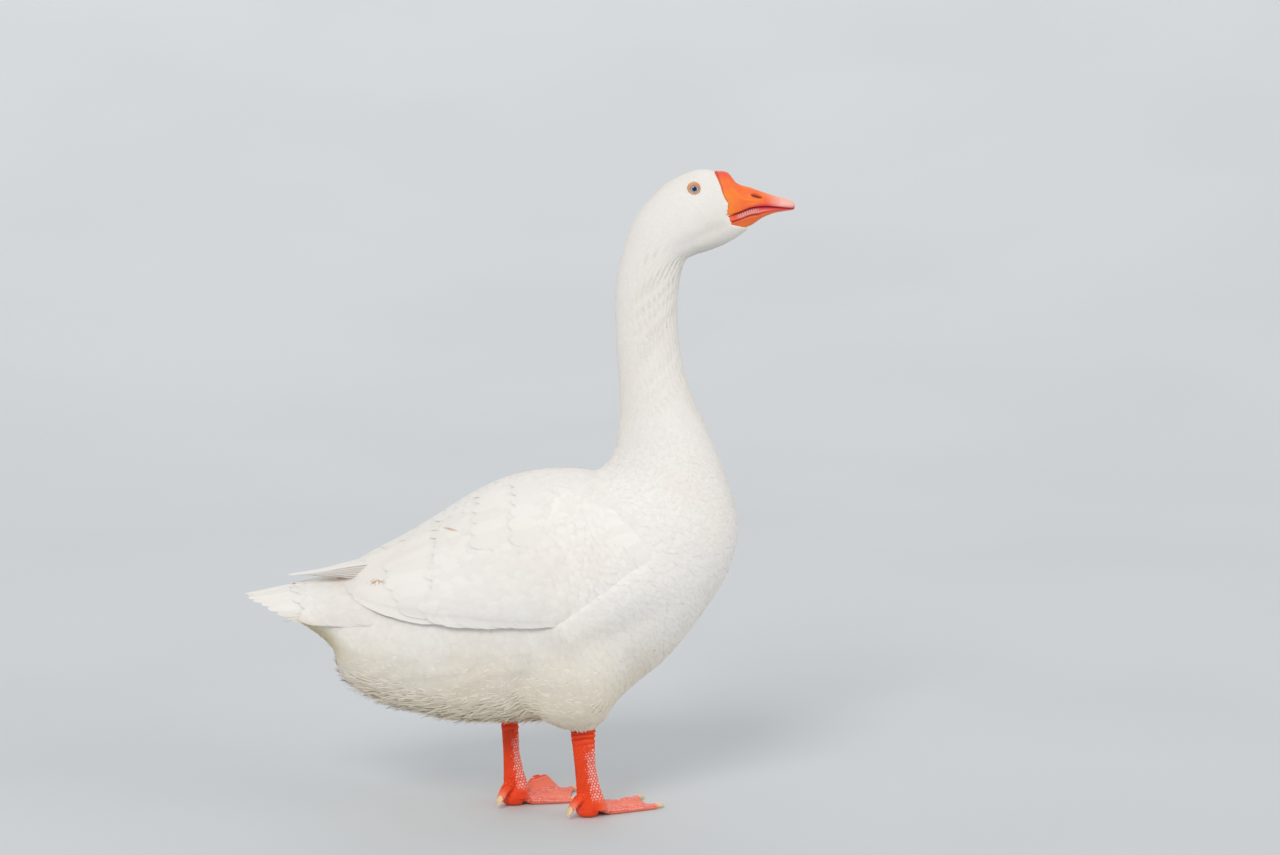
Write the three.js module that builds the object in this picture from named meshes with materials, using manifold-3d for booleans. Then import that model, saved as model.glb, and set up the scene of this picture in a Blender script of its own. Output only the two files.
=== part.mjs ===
// A white domestic goose standing still with its head up, as a life-size museum model.
// Millimetres. +X is where the goose faces, +Y its left side, +Z up. The origin is on the floor,
// midway along, across and under the model. Right is the side of negative Y.
//
// The flesh is one lofted body (trunk, neck and head) parted by thin cuts. Wings, thighs, tail, bill,
// legs, feet, claws and eyes are lofts of their own, cut back where they meet their neighbours.
import * as THREE from "three";
import { mergeVertices } from "three/addons/utils/BufferGeometryUtils.js";
import Module from "manifold-3d";

const wasm = await Module();
wasm.setup();

// ---- Driving dimensions ----
const GAP = 0.3; // between two pieces that touch
const BODY_RING = 24; // points round a section of the body
const BODY_STEPS = 36; // sections from the rump to the chin
const LEG_TOP = 112; // where a bare leg starts, inside the thigh feathers
const LEG_HALF_WIDTH = 7.4; // across the goose; along it, each leg has its own depth
const ANKLE_HEIGHT = 13;
// Side is 1 on the left, and hip, hock and ankle are [x, y]. A positive toesTurn is to the left.
const LEGS = {
  right: { side: -1, hip: [67, -62], hock: [76, -40], ankle: [79.5, -28], toesTurn: 52, depth: 11.4 },
  left: { side: 1, hip: [4, 62], hock: [-9.5, 40], ankle: [-7, 26], toesTurn: 43, depth: 10.2 },
};

// Sections of the body from the rump to the chin. Each is a flat ring through a point on the
// underside [x, z] and a point on the back [x, z]. Then its half width, how far up it is widest
// (0 at the underside, 1 at the back) and how much narrower the back is than the underside.
const BODY = [
  [-252, 222, -252, 240, 14, 0.5, 0],
  [-227, 207, -230, 256, 36, 0.5, 0],
  [-207, 188, -206, 268, 56, 0.5, 0],
  [-197, 158, -175, 286, 76, 0.52, 0],
  [-168, 136, -130, 308, 93, 0.52, 0],
  [-118, 118, -88, 332, 104, 0.52, 0],
  [-62, 107, -50, 355, 109, 0.52, 0],
  [0, 106, -12, 373, 112, 0.53, 0],
  [60, 109, 28, 384, 112, 0.54, 0],
  [102, 122, 54, 387, 109, 0.55, 0],
  [137, 151, 70, 388, 105, 0.55, 0],
  [170, 179, 81, 389, 99, 0.55, 0],
  [207, 225, 90, 391.5, 90, 0.54, 0],
  [234, 267, 97, 396, 81, 0.53, 0],
  [248, 306, 102, 401, 73, 0.52, 0],
  [249, 340, 106, 407, 66, 0.51, 0],
  [241, 371, 109, 414, 60, 0.5, 0.02],
  [229, 405, 112, 425, 53, 0.5, 0.03],
  [214, 440, 114.5, 444, 46, 0.5, 0.03],
  [199.5, 473, 115.5, 468, 39.5, 0.5, 0.03],
  [188.5, 508, 113.8, 506, 33.5, 0.5, 0.03],
  [181.8, 551, 110.8, 551, 31, 0.5, 0.03],
  [182.6, 598, 111.4, 600, 31, 0.5, 0.04],
  [189, 626, 119.5, 640, 31.5, 0.5, 0.06],
  [199, 634, 134, 677, 31.5, 0.5, 0.1],
  [213, 638.5, 165, 712, 31, 0.5, 0.16],
  [230, 645, 199, 728.6, 27.5, 0.5, 0.14],
  [247, 654, 222, 728, 20.5, 0.5, 0.1],
  [259, 663, 240, 716, 15.5, 0.5, 0.05],
];

// The edge of the face feathers in side view, from the forehead to the tip of the chin.
const FACE_EDGE = [
  [219, 745], [221.5, 728], [226.5, 712], [229, 702], [234.5, 692], [233, 679], [238, 671.5],
  [237.5, 667.5], [258, 663.5], [266, 655],
];

const PLUMAGE = new THREE.MeshStandardMaterial({ name: "plumage", color: 0xefedea, roughness: 0.75 });
const BILL_HORN = new THREE.MeshStandardMaterial({ name: "bill_horn", color: 0xf2702a, roughness: 0.4 });
const NAIL_HORN = new THREE.MeshStandardMaterial({ name: "nail_horn", color: 0xf3b7a0, roughness: 0.4 });
const LEG_SKIN = new THREE.MeshStandardMaterial({ name: "leg_skin", color: 0xe8502c, roughness: 0.55 });
const CLAW_HORN = new THREE.MeshStandardMaterial({ name: "claw_horn", color: 0xe8c9a4, roughness: 0.4 });
const EYE = new THREE.MeshStandardMaterial({ name: "eye", color: 0x6d8fb5, roughness: 0.1 });

// ---- Helpers ----

// A smooth curve through the rows of a table: the row at place t, where t counts rows.
function rowAt(table, t) {
  const last = table.length - 1;
  const i = Math.min(Math.floor(t), last - 1);
  const f = t - i;
  const at = (k) => table[Math.max(0, Math.min(last, k))];
  const [a, b, c, d] = [at(i - 1), at(i), at(i + 1), at(i + 2)];
  return b.map(
    (_, k) =>
      0.5 *
      (2 * b[k] +
        (c[k] - a[k]) * f +
        (2 * a[k] - 5 * b[k] + 4 * c[k] - d[k]) * f * f +
        (3 * b[k] - a[k] - 3 * c[k] + d[k]) * f * f * f),
  );
}

// The row of a table whose first column is x. The first column rises all the way.
function rowAtX(table, x) {
  let i = 0;
  while (i < table.length - 2 && table[i + 1][0] < x) i += 1;
  let [low, high] = [i, i + 1];
  for (let n = 0; n < 24; n += 1) {
    const middle = (low + high) / 2;
    if (rowAt(table, middle)[0] < x) low = middle;
    else high = middle;
  }
  return rowAt(table, (low + high) / 2);
}

function smoothstep(from, to, value) {
  const t = Math.max(0, Math.min(1, (value - from) / (to - from)));
  return t * t * (3 - 2 * t);
}

const mix = (a, b, t) => a + (b - a) * t;
const radians = (degrees) => (degrees * Math.PI) / 180;

// A closed mesh through rings of equally many points, with a fan over each end.
function loft(rings) {
  const count = rings[0].length;
  const points = rings.flat();
  const faces = [];
  for (let r = 0; r < rings.length - 1; r += 1)
    for (let k = 0; k < count; k += 1) {
      const a = r * count + k;
      const b = r * count + ((k + 1) % count);
      faces.push([a, b, b + count], [a, b + count, a + count]);
    }
  for (const [ring, turned] of [[0, true], [rings.length - 1, false]]) {
    const centre = new THREE.Vector3();
    rings[ring].forEach((p) => centre.addScaledVector(p, 1 / count));
    const middle = points.push(centre) - 1;
    for (let k = 0; k < count; k += 1) {
      const a = ring * count + k;
      const b = ring * count + ((k + 1) % count);
      faces.push(turned ? [b, a, middle] : [a, b, middle]);
    }
  }
  const geometry = new THREE.BufferGeometry().setFromPoints(points);
  geometry.setIndex(faces.flat());
  return geometry;
}

// A closed geometry as a manifold-3d solid, turned the right way out.
function solid(geometry) {
  const bare = geometry.clone();
  bare.deleteAttribute("normal");
  bare.deleteAttribute("uv");
  const merged = mergeVertices(bare, 1e-3);
  const vertProperties = merged.attributes.position.array;
  const index = Array.from(merged.index.array);
  const made = new wasm.Manifold(
    new wasm.Mesh({ numProp: 3, vertProperties, triVerts: new Uint32Array(index) }),
  );
  if (made.volume() > 0) return made;
  for (let i = 0; i < index.length; i += 3) [index[i + 1], index[i + 2]] = [index[i + 2], index[i + 1]];
  return new wasm.Manifold(
    new wasm.Mesh({ numProp: 3, vertProperties, triVerts: new Uint32Array(index) }),
  );
}

function meshOf(name, made, material) {
  const { vertProperties, triVerts, numProp, numVert } = made.getMesh();
  const places = new Float32Array(numVert * 3);
  for (let i = 0; i < numVert; i += 1)
    places.set(vertProperties.subarray(i * numProp, i * numProp + 3), i * 3);
  const geometry = new THREE.BufferGeometry();
  geometry.setAttribute("position", new THREE.BufferAttribute(places, 3));
  geometry.setIndex(new THREE.BufferAttribute(new Uint32Array(triVerts), 1));
  geometry.computeVertexNormals();
  const mesh = new THREE.Mesh(geometry, material);
  mesh.name = name;
  return mesh;
}

// The largest body of a solid, which drops the slivers that a cut leaves.
function mainBody(made) {
  return made.decompose().reduce((best, body) => (body.volume() > best.volume() ? body : best));
}

// Parts a solid at a plane through the point [x, z], whose normal leans from +X by the angle in
// degrees. Returns the half on the normal's side and the other half, with a gap between them.
function cut(made, [x, z], angle) {
  const normal = [Math.cos(radians(angle)), 0, Math.sin(radians(angle))];
  const offset = x * normal[0] + z * normal[2];
  const turned = normal.map((v) => -v);
  return [
    mainBody(made.trimByPlane(normal, offset + GAP / 2)),
    mainBody(made.trimByPlane(turned, GAP / 2 - offset)),
  ];
}

// A plate across the body whose outline in side view is a list of [x, z].
function sidePlate(outline, halfWidth) {
  const shape = new THREE.Shape(outline.map(([x, z]) => new THREE.Vector2(x, z)));
  const geometry = new THREE.ExtrudeGeometry(shape, { depth: 2 * halfWidth, bevelEnabled: false });
  geometry.rotateX(Math.PI / 2);
  geometry.translate(0, halfWidth, 0);
  return solid(geometry);
}

// ---- Body ----

// A point on the body: row counts along BODY, and the angle runs from the left side over the back.
// Grow is how far outside the surface the point lies.
function bodyPoint(row, angle, grow = 0) {
  const [bellyX, bellyZ, backX, backZ, halfWidth, widest, narrowing] = rowAt(BODY, row);
  const upward = new THREE.Vector3(backX - bellyX, 0, backZ - bellyZ);
  const height = upward.length();
  upward.normalize();
  const rise = Math.sin(angle);
  const reach = height * (rise > 0 ? 1 - widest : widest) + grow;
  const point = new THREE.Vector3(bellyX, 0, bellyZ).addScaledVector(upward, height * widest);
  point.addScaledVector(upward, reach * rise);
  point.y = (halfWidth + grow) * Math.cos(angle) * (1 - narrowing * rise);
  return point;
}

function bodyLoft(grow) {
  const rings = [];
  for (let i = 0; i <= BODY_STEPS; i += 1) {
    const ring = [];
    for (let k = 0; k < BODY_RING; k += 1)
      ring.push(bodyPoint((i / BODY_STEPS) * (BODY.length - 1), (2 * Math.PI * k) / BODY_RING, grow));
    rings.push(ring);
  }
  return solid(loft(rings));
}

// The angle at which the section at a row of BODY passes a height, on the left side.
function angleAtHeight(row, z) {
  let [low, high] = [-Math.PI / 2, Math.PI / 2];
  for (let n = 0; n < 24; n += 1) {
    const middle = (low + high) / 2;
    if (bodyPoint(row, middle).z < z) low = middle;
    else high = middle;
  }
  return low;
}

const body = bodyLoft(0);
const bodyGrown = bodyLoft(GAP);

// ---- Bill ----

// Stations of the bill along X: top line, mouth line, underside of the lower half, half width.
const BILL = [
  [206, 734, 676, 656, 20],
  [222, 728.5, 678, 658, 20],
  [236, 726.5, 678.5, 661, 19.2],
  [247, 714.5, 681, 662.5, 17.4],
  [262, 709.5, 686.5, 667.5, 15.8],
  [276, 704.5, 688, 676.5, 14.6],
  [289, 700.5, 687.5, 681.5, 13.4],
  [300, 697.5, 686.5, 683.5, 11],
  [308, 694.5, 686, 684.5, 7],
  [311, 691, 687, 686, 3],
];
const NAIL_START = 293;
const BILL_RING = 14;

// Half of the bill as a closed loft. The upper half is an arch over the mouth line, the lower half
// a shallow keel beneath it and a little narrower.
function billLoft(upper) {
  const rings = [];
  const steps = 12;
  for (let i = 0; i <= steps; i += 1) {
    const x = mix(BILL[0][0], BILL[BILL.length - 1][0], i / steps);
    const [, top, mouth, under, halfWidth] = rowAtX(BILL, x);
    const ring = [];
    for (let k = 0; k < BILL_RING; k += 1) {
      const angle = (2 * Math.PI * k) / BILL_RING;
      const [across, rise] = [Math.cos(angle), Math.sin(angle)];
      if (upper) {
        const lip = mouth + GAP / 2 + 1.6 * (1 - Math.abs(across));
        const z = rise > 0 ? mix(mouth + 2.4, top, rise) : mix(mouth + 2.4, lip, -rise);
        ring.push(new THREE.Vector3(x, halfWidth * across, z));
      } else {
        const tongueEdge = mouth - GAP / 2;
        const z = rise > 0 ? tongueEdge : mix(tongueEdge, under, -rise);
        ring.push(new THREE.Vector3(x, Math.max(0.6, halfWidth - 1.6) * across, z - 0.4 * rise * rise));
      }
    }
    rings.push(ring);
  }
  return solid(loft(rings));
}

// The space in front of the feather edge, that the bill keeps and the head gives up.
const inFront = sidePlate([...FACE_EDGE, [340, 655], [340, 745]], 60);
const inFrontGrown = sidePlate(
  [...FACE_EDGE.map(([x, z], i) => [x - GAP, z - (i > 6 ? GAP : 0)]), [340, 655], [340, 745]],
  60,
);
const billUpperWhole = billLoft(true).intersect(inFront);
const [billNail, billUpper] = cut(billUpperWhole, [NAIL_START, 700], 12);
const billLower = mainBody(billLoft(false).intersect(inFront));

// ---- Eyes ----

const EYE_RADIUS = 8.6;
const EYE_CENTRE = { x: 198, y: 18.2, z: 707 };

function eyeBall(side, grow) {
  const ball = new THREE.SphereGeometry(EYE_RADIUS + grow, 10, 8);
  ball.translate(EYE_CENTRE.x, side * EYE_CENTRE.y, EYE_CENTRE.z);
  return solid(ball);
}

// ---- Body parted into head, neck and trunk ----

let [upperBody, trunk] = cut(body, [175, 392], 72);
const [headWhole, neck] = cut(upperBody, [160, 641], 58);
const [neckUpper, neckLower] = cut(neck, [148, 520], 93);
const head = mainBody(
  headWhole.subtract(inFrontGrown).subtract(eyeBall(1, GAP)).subtract(eyeBall(-1, GAP)),
);

// ---- Wings ----

// The folded wing lies on the trunk from the shoulder to the rump. Rows: row of BODY, height of the
// lower edge, distance of the upper edge from the middle of the back, thickness.
const WING = [
  [2.3, 262, 9, 4],
  [3, 258, 8, 8],
  [4, 251, 8, 11],
  [5, 246, 8, 12],
  [6, 241, 10, 12],
  [7, 236, 16, 11],
  [8, 234, 26, 9],
  [9, 238, 38, 7.5],
  [10, 256, 50, 6.5],
  [10.8, 284, 62, 5],
];
const WING_STEPS = 16;
const WING_BAND = 8; // strips across the wing
const WING_DEPTH = 3; // how far its inner face starts inside the trunk, before that is cut away

function wingLoft(side) {
  const rings = [];
  for (let i = 0; i <= WING_STEPS; i += 1) {
    const [row, lowEdge, fromMiddle, thickness] = rowAt(WING, (i / WING_STEPS) * (WING.length - 1));
    const low = angleAtHeight(row, lowEdge);
    const high = Math.acos(fromMiddle / rowAt(BODY, row)[4]);
    const ring = [];
    for (let k = 0; k <= WING_BAND; k += 1) {
      const share = k / WING_BAND;
      const edge = Math.min(1, share / 0.1, (1 - share) / 0.12);
      ring.push(bodyPoint(row, mix(low, high, share), thickness * (0.5 + 0.5 * Math.sqrt(edge))));
    }
    for (let k = WING_BAND; k >= 0; k -= 1)
      ring.push(bodyPoint(row, mix(low, high, k / WING_BAND), -WING_DEPTH));
    ring.forEach((p) => (p.y *= side));
    rings.push(ring);
  }
  return solid(loft(rings));
}

// The flight feathers of the wing's hand: a flat blade that runs back over the rump to a point.
// Rows: place along X, distance from the middle, height, half width, half thickness.
const PRIMARIES = [
  [-269, 8, 273, 2, 0.8],
  [-250, 13, 275.5, 8, 2],
  [-220, 20, 280, 15, 4],
  [-180, 30, 287, 21, 6],
  [-140, 38, 289, 22, 7],
];

function primariesLoft(side) {
  const rings = [];
  const steps = 6;
  const points = 12;
  for (let i = 0; i <= steps; i += 1) {
    const [x, out, height, halfWidth, halfThick] = rowAt(PRIMARIES, (i / steps) * (PRIMARIES.length - 1));
    const ring = [];
    for (let k = 0; k < points; k += 1) {
      const angle = (2 * Math.PI * k) / points;
      const across = halfWidth * Math.cos(angle);
      const lean = -0.32 * across;
      ring.push(new THREE.Vector3(x, side * (out + across), height + lean + halfThick * Math.sin(angle)));
    }
    rings.push(ring);
  }
  return solid(loft(rings));
}

// ---- Tail ----

const TAIL_ROOT = -196;
const TAIL_TIP = -309;
const TAIL_FEATHERS = 16;
const TAIL_TOP = { root: 276, tip: 252 };
const TAIL_HALF_WIDTH = { root: 31, tip: 49 };
const TAIL_DROP = 24; // how much lower the sides of the tail hang than its middle

// A fan of feathers: wider towards its end, lower at its sides, with a scalloped rear edge.
function tailFan() {
  const across = 2 * TAIL_FEATHERS;
  const along = 2;
  const rings = [];
  for (let i = 0; i <= across; i += 1) {
    const v = (2 * i) / across - 1;
    const scallop = 2.2 * Math.abs(Math.sin((Math.PI * TAIL_FEATHERS * (v + 1)) / 2));
    const tipX = TAIL_TIP + 45 * v * v - scallop + 2.2;
    const upper = [];
    const lower = [];
    for (let j = 0; j <= along; j += 1) {
      const u = j / along;
      const x = mix(TAIL_ROOT, tipX, u);
      const y = v * mix(TAIL_HALF_WIDTH.root, TAIL_HALF_WIDTH.tip, Math.sqrt(u));
      const drop = TAIL_DROP * v * v;
      const z = mix(TAIL_TOP.root, TAIL_TOP.tip, u) - drop;
      const thick = mix(9, 1.6, Math.pow(u, 0.7));
      upper.push(new THREE.Vector3(x, y, z));
      lower.push(new THREE.Vector3(x, y, z - thick));
    }
    rings.push([...upper, ...lower.reverse()]);
  }
  return solid(loft(rings));
}

// ---- Thighs, legs and feet ----

// The feathered thigh: a drumstick from the flank down to where the bare leg starts.
function thighLoft({ side, hip, hock, depth }, grow) {
  const rows = [
    [hip[0] - 1, hip[1] - 8 * side, 250, 34, 22],
    [hip[0] + 1, hip[1], 215, 50, 38],
    [hip[0] + 1, hip[1], 180, 53, 42],
    [mix(hip[0], hock[0], 0.05), mix(hip[1], hock[1], 0.28), 150, 49.5, 38],
    [mix(hip[0], hock[0], 0.1) - 4, mix(hip[1], hock[1], 0.55), 130, 41.5, 32],
    [mix(hip[0], hock[0], 0.3) - 7, mix(hip[1], hock[1], 0.75), 119, 35, 26],
    [mix(hip[0], hock[0], 0.6) - 7, mix(hip[1], hock[1], 0.9), 111, 26, 19.5],
    [hock[0], hock[1], 104, depth + 2.6, LEG_HALF_WIDTH + 2.6],
  ];
  const points = 14;
  const steps = 9;
  const rings = [];
  for (let i = 0; i <= steps; i += 1) {
    const [x, y, z, alongX, alongY] = rowAt(rows, (i / steps) * (rows.length - 1));
    const ring = [];
    for (let k = 0; k < points; k += 1) {
      const angle = (2 * Math.PI * k) / points;
      ring.push(
        new THREE.Vector3(
          x + (alongX + grow) * Math.cos(angle),
          y + (alongY + grow) * Math.sin(angle),
          z,
        ),
      );
    }
    rings.push(ring);
  }
  return solid(loft(rings));
}

// The bare leg, oval in section, thicker at the hock and where it meets the toes.
function legLoft({ hock, ankle, depth }, grow) {
  const rings = [];
  const steps = 5;
  const points = 12;
  for (let i = 0; i <= steps; i += 1) {
    const t = i / steps;
    const z = mix(LEG_TOP, ANKLE_HEIGHT - 4, t);
    const swell = 2.4 * smoothstep(0.35, 0, t) + 1.4 * smoothstep(0.72, 1, t);
    const ring = [];
    for (let k = 0; k < points; k += 1) {
      const angle = (2 * Math.PI * k) / points;
      ring.push(
        new THREE.Vector3(
          mix(hock[0], ankle[0], t) + (depth + swell + grow) * Math.cos(angle),
          mix(hock[1], ankle[1], t) + (LEG_HALF_WIDTH + swell + grow) * Math.sin(angle),
          z,
        ),
      );
    }
    rings.push(ring);
  }
  return solid(loft(rings));
}

// Toes in the foot's own frame, where +X is the middle toe: turn in degrees, bare length, radius at
// the root and at the claw, and length of the claw. A positive turn is towards the goose's left.
const TOES = {
  inner: { turn: 34, length: 70, root: 7, end: 4.2, claw: 10 },
  middle: { turn: 0, length: 94, root: 7.5, end: 4.4, claw: 12 },
  outer: { turn: -27, length: 88, root: 7, end: 4.2, claw: 10 },
  hind: { turn: 168, length: 14, root: 4.6, end: 3.4, claw: 7 },
};
const SOLE_FLAT = 1; // how much of a toe's roundness is cut off by the floor
const HIND_RISE = 4; // the hind toe leaves the leg this much higher than it lands

function toeTurn(foot, toe) {
  return radians(foot.toesTurn + toe.turn * foot.mirror);
}

// The centre line of a toe at share t of its length, and its radius there with two knuckle pads.
function toeAt(foot, toe, t) {
  const turn = toeTurn(foot, toe);
  const knuckles = 0.7 * Math.cos(4 * Math.PI * t) ** 2 * smoothstep(1.2, 0.6, t);
  const radius = mix(toe.root, toe.end, Math.pow(t, 0.8)) + knuckles - 0.4;
  const lift = toe === TOES.hind ? HIND_RISE * (1 - t) : 5.5 * smoothstep(0.28, 0, t);
  return {
    x: foot.ankle[0] + toe.length * t * Math.cos(turn),
    y: foot.ankle[1] + toe.length * t * Math.sin(turn),
    z: radius - SOLE_FLAT + lift,
    radius,
    turn,
  };
}

function toeLoft(foot, toe) {
  const rings = [];
  const steps = toe === TOES.hind ? 3 : 6;
  const points = 8;
  for (let i = 0; i <= steps; i += 1) {
    const at = toeAt(foot, toe, i / steps);
    const ring = [];
    for (let k = 0; k < points; k += 1) {
      const angle = (2 * Math.PI * (k + 0.5)) / points; // a flat facet faces the floor
      const across = at.radius * Math.cos(angle);
      ring.push(
        new THREE.Vector3(
          at.x - across * Math.sin(at.turn),
          at.y + across * Math.cos(at.turn),
          at.z + at.radius * Math.sin(angle),
        ),
      );
    }
    rings.push(ring);
  }
  return solid(loft(rings));
}

// A claw: a flattened cone that bends down to the floor, starting a gap past the end of its toe.
function clawLoft(foot, toe) {
  const end = toeAt(foot, toe, 1);
  const rings = [];
  const steps = 3;
  const points = 6;
  for (let i = 0; i <= steps; i += 1) {
    const t = i / steps;
    const radius = mix(end.radius * 0.82, 0.7, Math.pow(t, 1.2));
    const reach = GAP + toe.claw * t;
    const height = Math.max(radius, mix(end.z, radius + 0.05, Math.pow(t, 1.4)));
    const ring = [];
    for (let k = 0; k < points; k += 1) {
      const angle = (2 * Math.PI * k) / points;
      const across = radius * 0.85 * Math.cos(angle);
      ring.push(
        new THREE.Vector3(
          end.x + reach * Math.cos(end.turn) - across * Math.sin(end.turn),
          end.y + reach * Math.sin(end.turn) + across * Math.cos(end.turn),
          height + radius * Math.sin(angle),
        ),
      );
    }
    rings.push(ring);
  }
  return solid(loft(rings));
}

const WEB_THICKNESS = 2.2;
const WEB_CLEARANCE = 1.2; // the web hangs this far above the floor

// The web: a plate from the ankle to the three front toes, its front edges drawn in between them.
function webPlate(foot) {
  const tips = [TOES.outer, TOES.middle, TOES.inner].map((toe) => toeAt(foot, toe, 0.97));
  const shape = new THREE.Shape();
  shape.moveTo(foot.ankle[0], foot.ankle[1]);
  shape.lineTo(tips[0].x, tips[0].y);
  for (let i = 1; i < tips.length; i += 1) {
    const middleX = (tips[i - 1].x + tips[i].x) / 2;
    const middleY = (tips[i - 1].y + tips[i].y) / 2;
    const drawnIn = 0.12;
    shape.quadraticCurveTo(
      mix(middleX, foot.ankle[0], drawnIn),
      mix(middleY, foot.ankle[1], drawnIn),
      tips[i].x,
      tips[i].y,
    );
  }
  const plate = new THREE.ExtrudeGeometry(shape, {
    depth: WEB_THICKNESS,
    bevelEnabled: false,
    curveSegments: 4,
  });
  plate.translate(0, 0, WEB_CLEARANCE);
  return solid(plate);
}

function footSolid(foot, leg) {
  const knob = new THREE.SphereGeometry(12.5, 10, 6);
  knob.scale(1, 0.85, 0.9);
  knob.translate(foot.ankle[0], foot.ankle[1], ANKLE_HEIGHT - 2);
  let made = solid(knob).add(webPlate(foot));
  for (const toe of Object.values(TOES)) made = made.add(toeLoft(foot, toe));
  return mainBody(made.trimByPlane([0, 0, 1], 0).subtract(leg));
}

// ---- Assembly ----

const group = new THREE.Group();
const add = (name, made, material) => group.add(meshOf(name, made, material));

const legGrown = {};
const thigh = {};
const thighGrown = {};
const foot = {};
for (const [name, leg] of Object.entries(LEGS)) {
  foot[name] = { ...leg, mirror: -leg.side };
  legGrown[name] = legLoft(leg, GAP);
  thigh[name] = thighLoft(leg, 0).subtract(legGrown[name]);
  thighGrown[name] = thighLoft(leg, GAP);
}

for (const thighs of Object.values(thighGrown)) trunk = trunk.subtract(thighs);
trunk = mainBody(trunk);

add("trunk", trunk, PLUMAGE);
add("neck_lower", neckLower, PLUMAGE);
add("neck_upper", neckUpper, PLUMAGE);
add("head", head, PLUMAGE);
add("bill_upper", mainBody(billUpper), BILL_HORN);
add("bill_nail", mainBody(billNail), NAIL_HORN);
add("bill_lower", billLower, BILL_HORN);

// A solid with copies of itself a gap above and below, to cut a clear seam into a neighbour.
const withSeam = (made) => [made, made.translate(0, 0, GAP), made.translate(0, 0, -GAP)];
const subtractAll = (made, tools) => tools.reduce((left, tool) => left.subtract(tool), made);

const wings = {};
for (const [name, leg] of Object.entries(LEGS))
  wings[name] = mainBody(subtractAll(wingLoft(leg.side), [bodyGrown, thighGrown[name]]));
const tailCutters = [bodyGrown, ...Object.values(wings).flatMap(withSeam)];
const tail = mainBody(subtractAll(tailFan(), tailCutters));
add("tail", tail, PLUMAGE);

for (const [name, leg] of Object.entries(LEGS)) {
  const bladeCutters = [bodyGrown, ...withSeam(wings[name]), ...withSeam(tail)];
  add(`wing_${name}`, wings[name], PLUMAGE);
  add(`primaries_${name}`, mainBody(subtractAll(primariesLoft(leg.side), bladeCutters)), PLUMAGE);
  add(`thigh_${name}`, mainBody(thigh[name]), PLUMAGE);
  add(`leg_${name}`, mainBody(legLoft(leg, 0)), LEG_SKIN);
  add(`foot_${name}`, footSolid(foot[name], legGrown[name]), LEG_SKIN);
  for (const [toeName, toe] of Object.entries(TOES))
    add(`claw_${name}_${toeName}`, clawLoft(foot[name], toe).trimByPlane([0, 0, 1], 0), CLAW_HORN);
  add(`eye_${name}`, eyeBall(leg.side, 0), EYE);
}

// The model is centred over the origin.
const bounds = new THREE.Box3().setFromObject(group);
group.position.set(-(bounds.min.x + bounds.max.x) / 2, -(bounds.min.y + bounds.max.y) / 2, 0);

export default group;
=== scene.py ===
"""A white domestic goose standing with its head up, as a life-size museum model.

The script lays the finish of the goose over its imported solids: one skin with a coat of feather
tufts, folded wings, a tail fan, bill, eyes, scaled legs with webbed feet, and claws.
The goose faces +X, its left side is +Y and the floor is Z = 0. Tables are in millimetres.
"""
import functools

import bpy
import numpy as np
from bpy.props import FloatProperty, FloatVectorProperty, IntProperty, PointerProperty
from bpy.types import Operator, Panel, PropertyGroup
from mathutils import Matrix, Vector


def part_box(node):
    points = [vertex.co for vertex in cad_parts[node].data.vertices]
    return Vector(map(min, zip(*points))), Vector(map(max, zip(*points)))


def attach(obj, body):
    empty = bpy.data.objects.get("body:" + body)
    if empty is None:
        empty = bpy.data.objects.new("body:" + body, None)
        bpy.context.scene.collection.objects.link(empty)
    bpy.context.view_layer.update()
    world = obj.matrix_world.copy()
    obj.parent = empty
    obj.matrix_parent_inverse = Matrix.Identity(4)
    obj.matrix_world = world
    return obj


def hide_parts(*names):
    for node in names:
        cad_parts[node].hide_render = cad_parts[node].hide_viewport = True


bl_info = {
    "name": "Standing Goose",
    "version": (1, 0, 0),
    "blender": (4, 5, 0),
    "location": "3D View > Sidebar > Goose",
    "description": "Skin, feathers, bill, eyes and feet of a white domestic goose",
    "category": "Add Mesh",
}

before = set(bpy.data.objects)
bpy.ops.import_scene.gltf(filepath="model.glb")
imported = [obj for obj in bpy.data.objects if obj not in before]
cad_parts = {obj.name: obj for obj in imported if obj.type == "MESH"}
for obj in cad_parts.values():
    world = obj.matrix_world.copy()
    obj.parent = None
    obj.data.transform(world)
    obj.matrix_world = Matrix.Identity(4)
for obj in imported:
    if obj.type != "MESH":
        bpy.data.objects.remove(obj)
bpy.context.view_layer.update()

# ---- Shape tables, in millimetres ----

MM = 0.001
BILL_TIP = 311  # where the bill ends in these tables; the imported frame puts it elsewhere
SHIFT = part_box("bill_nail")[1].x / MM - BILL_TIP

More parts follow.
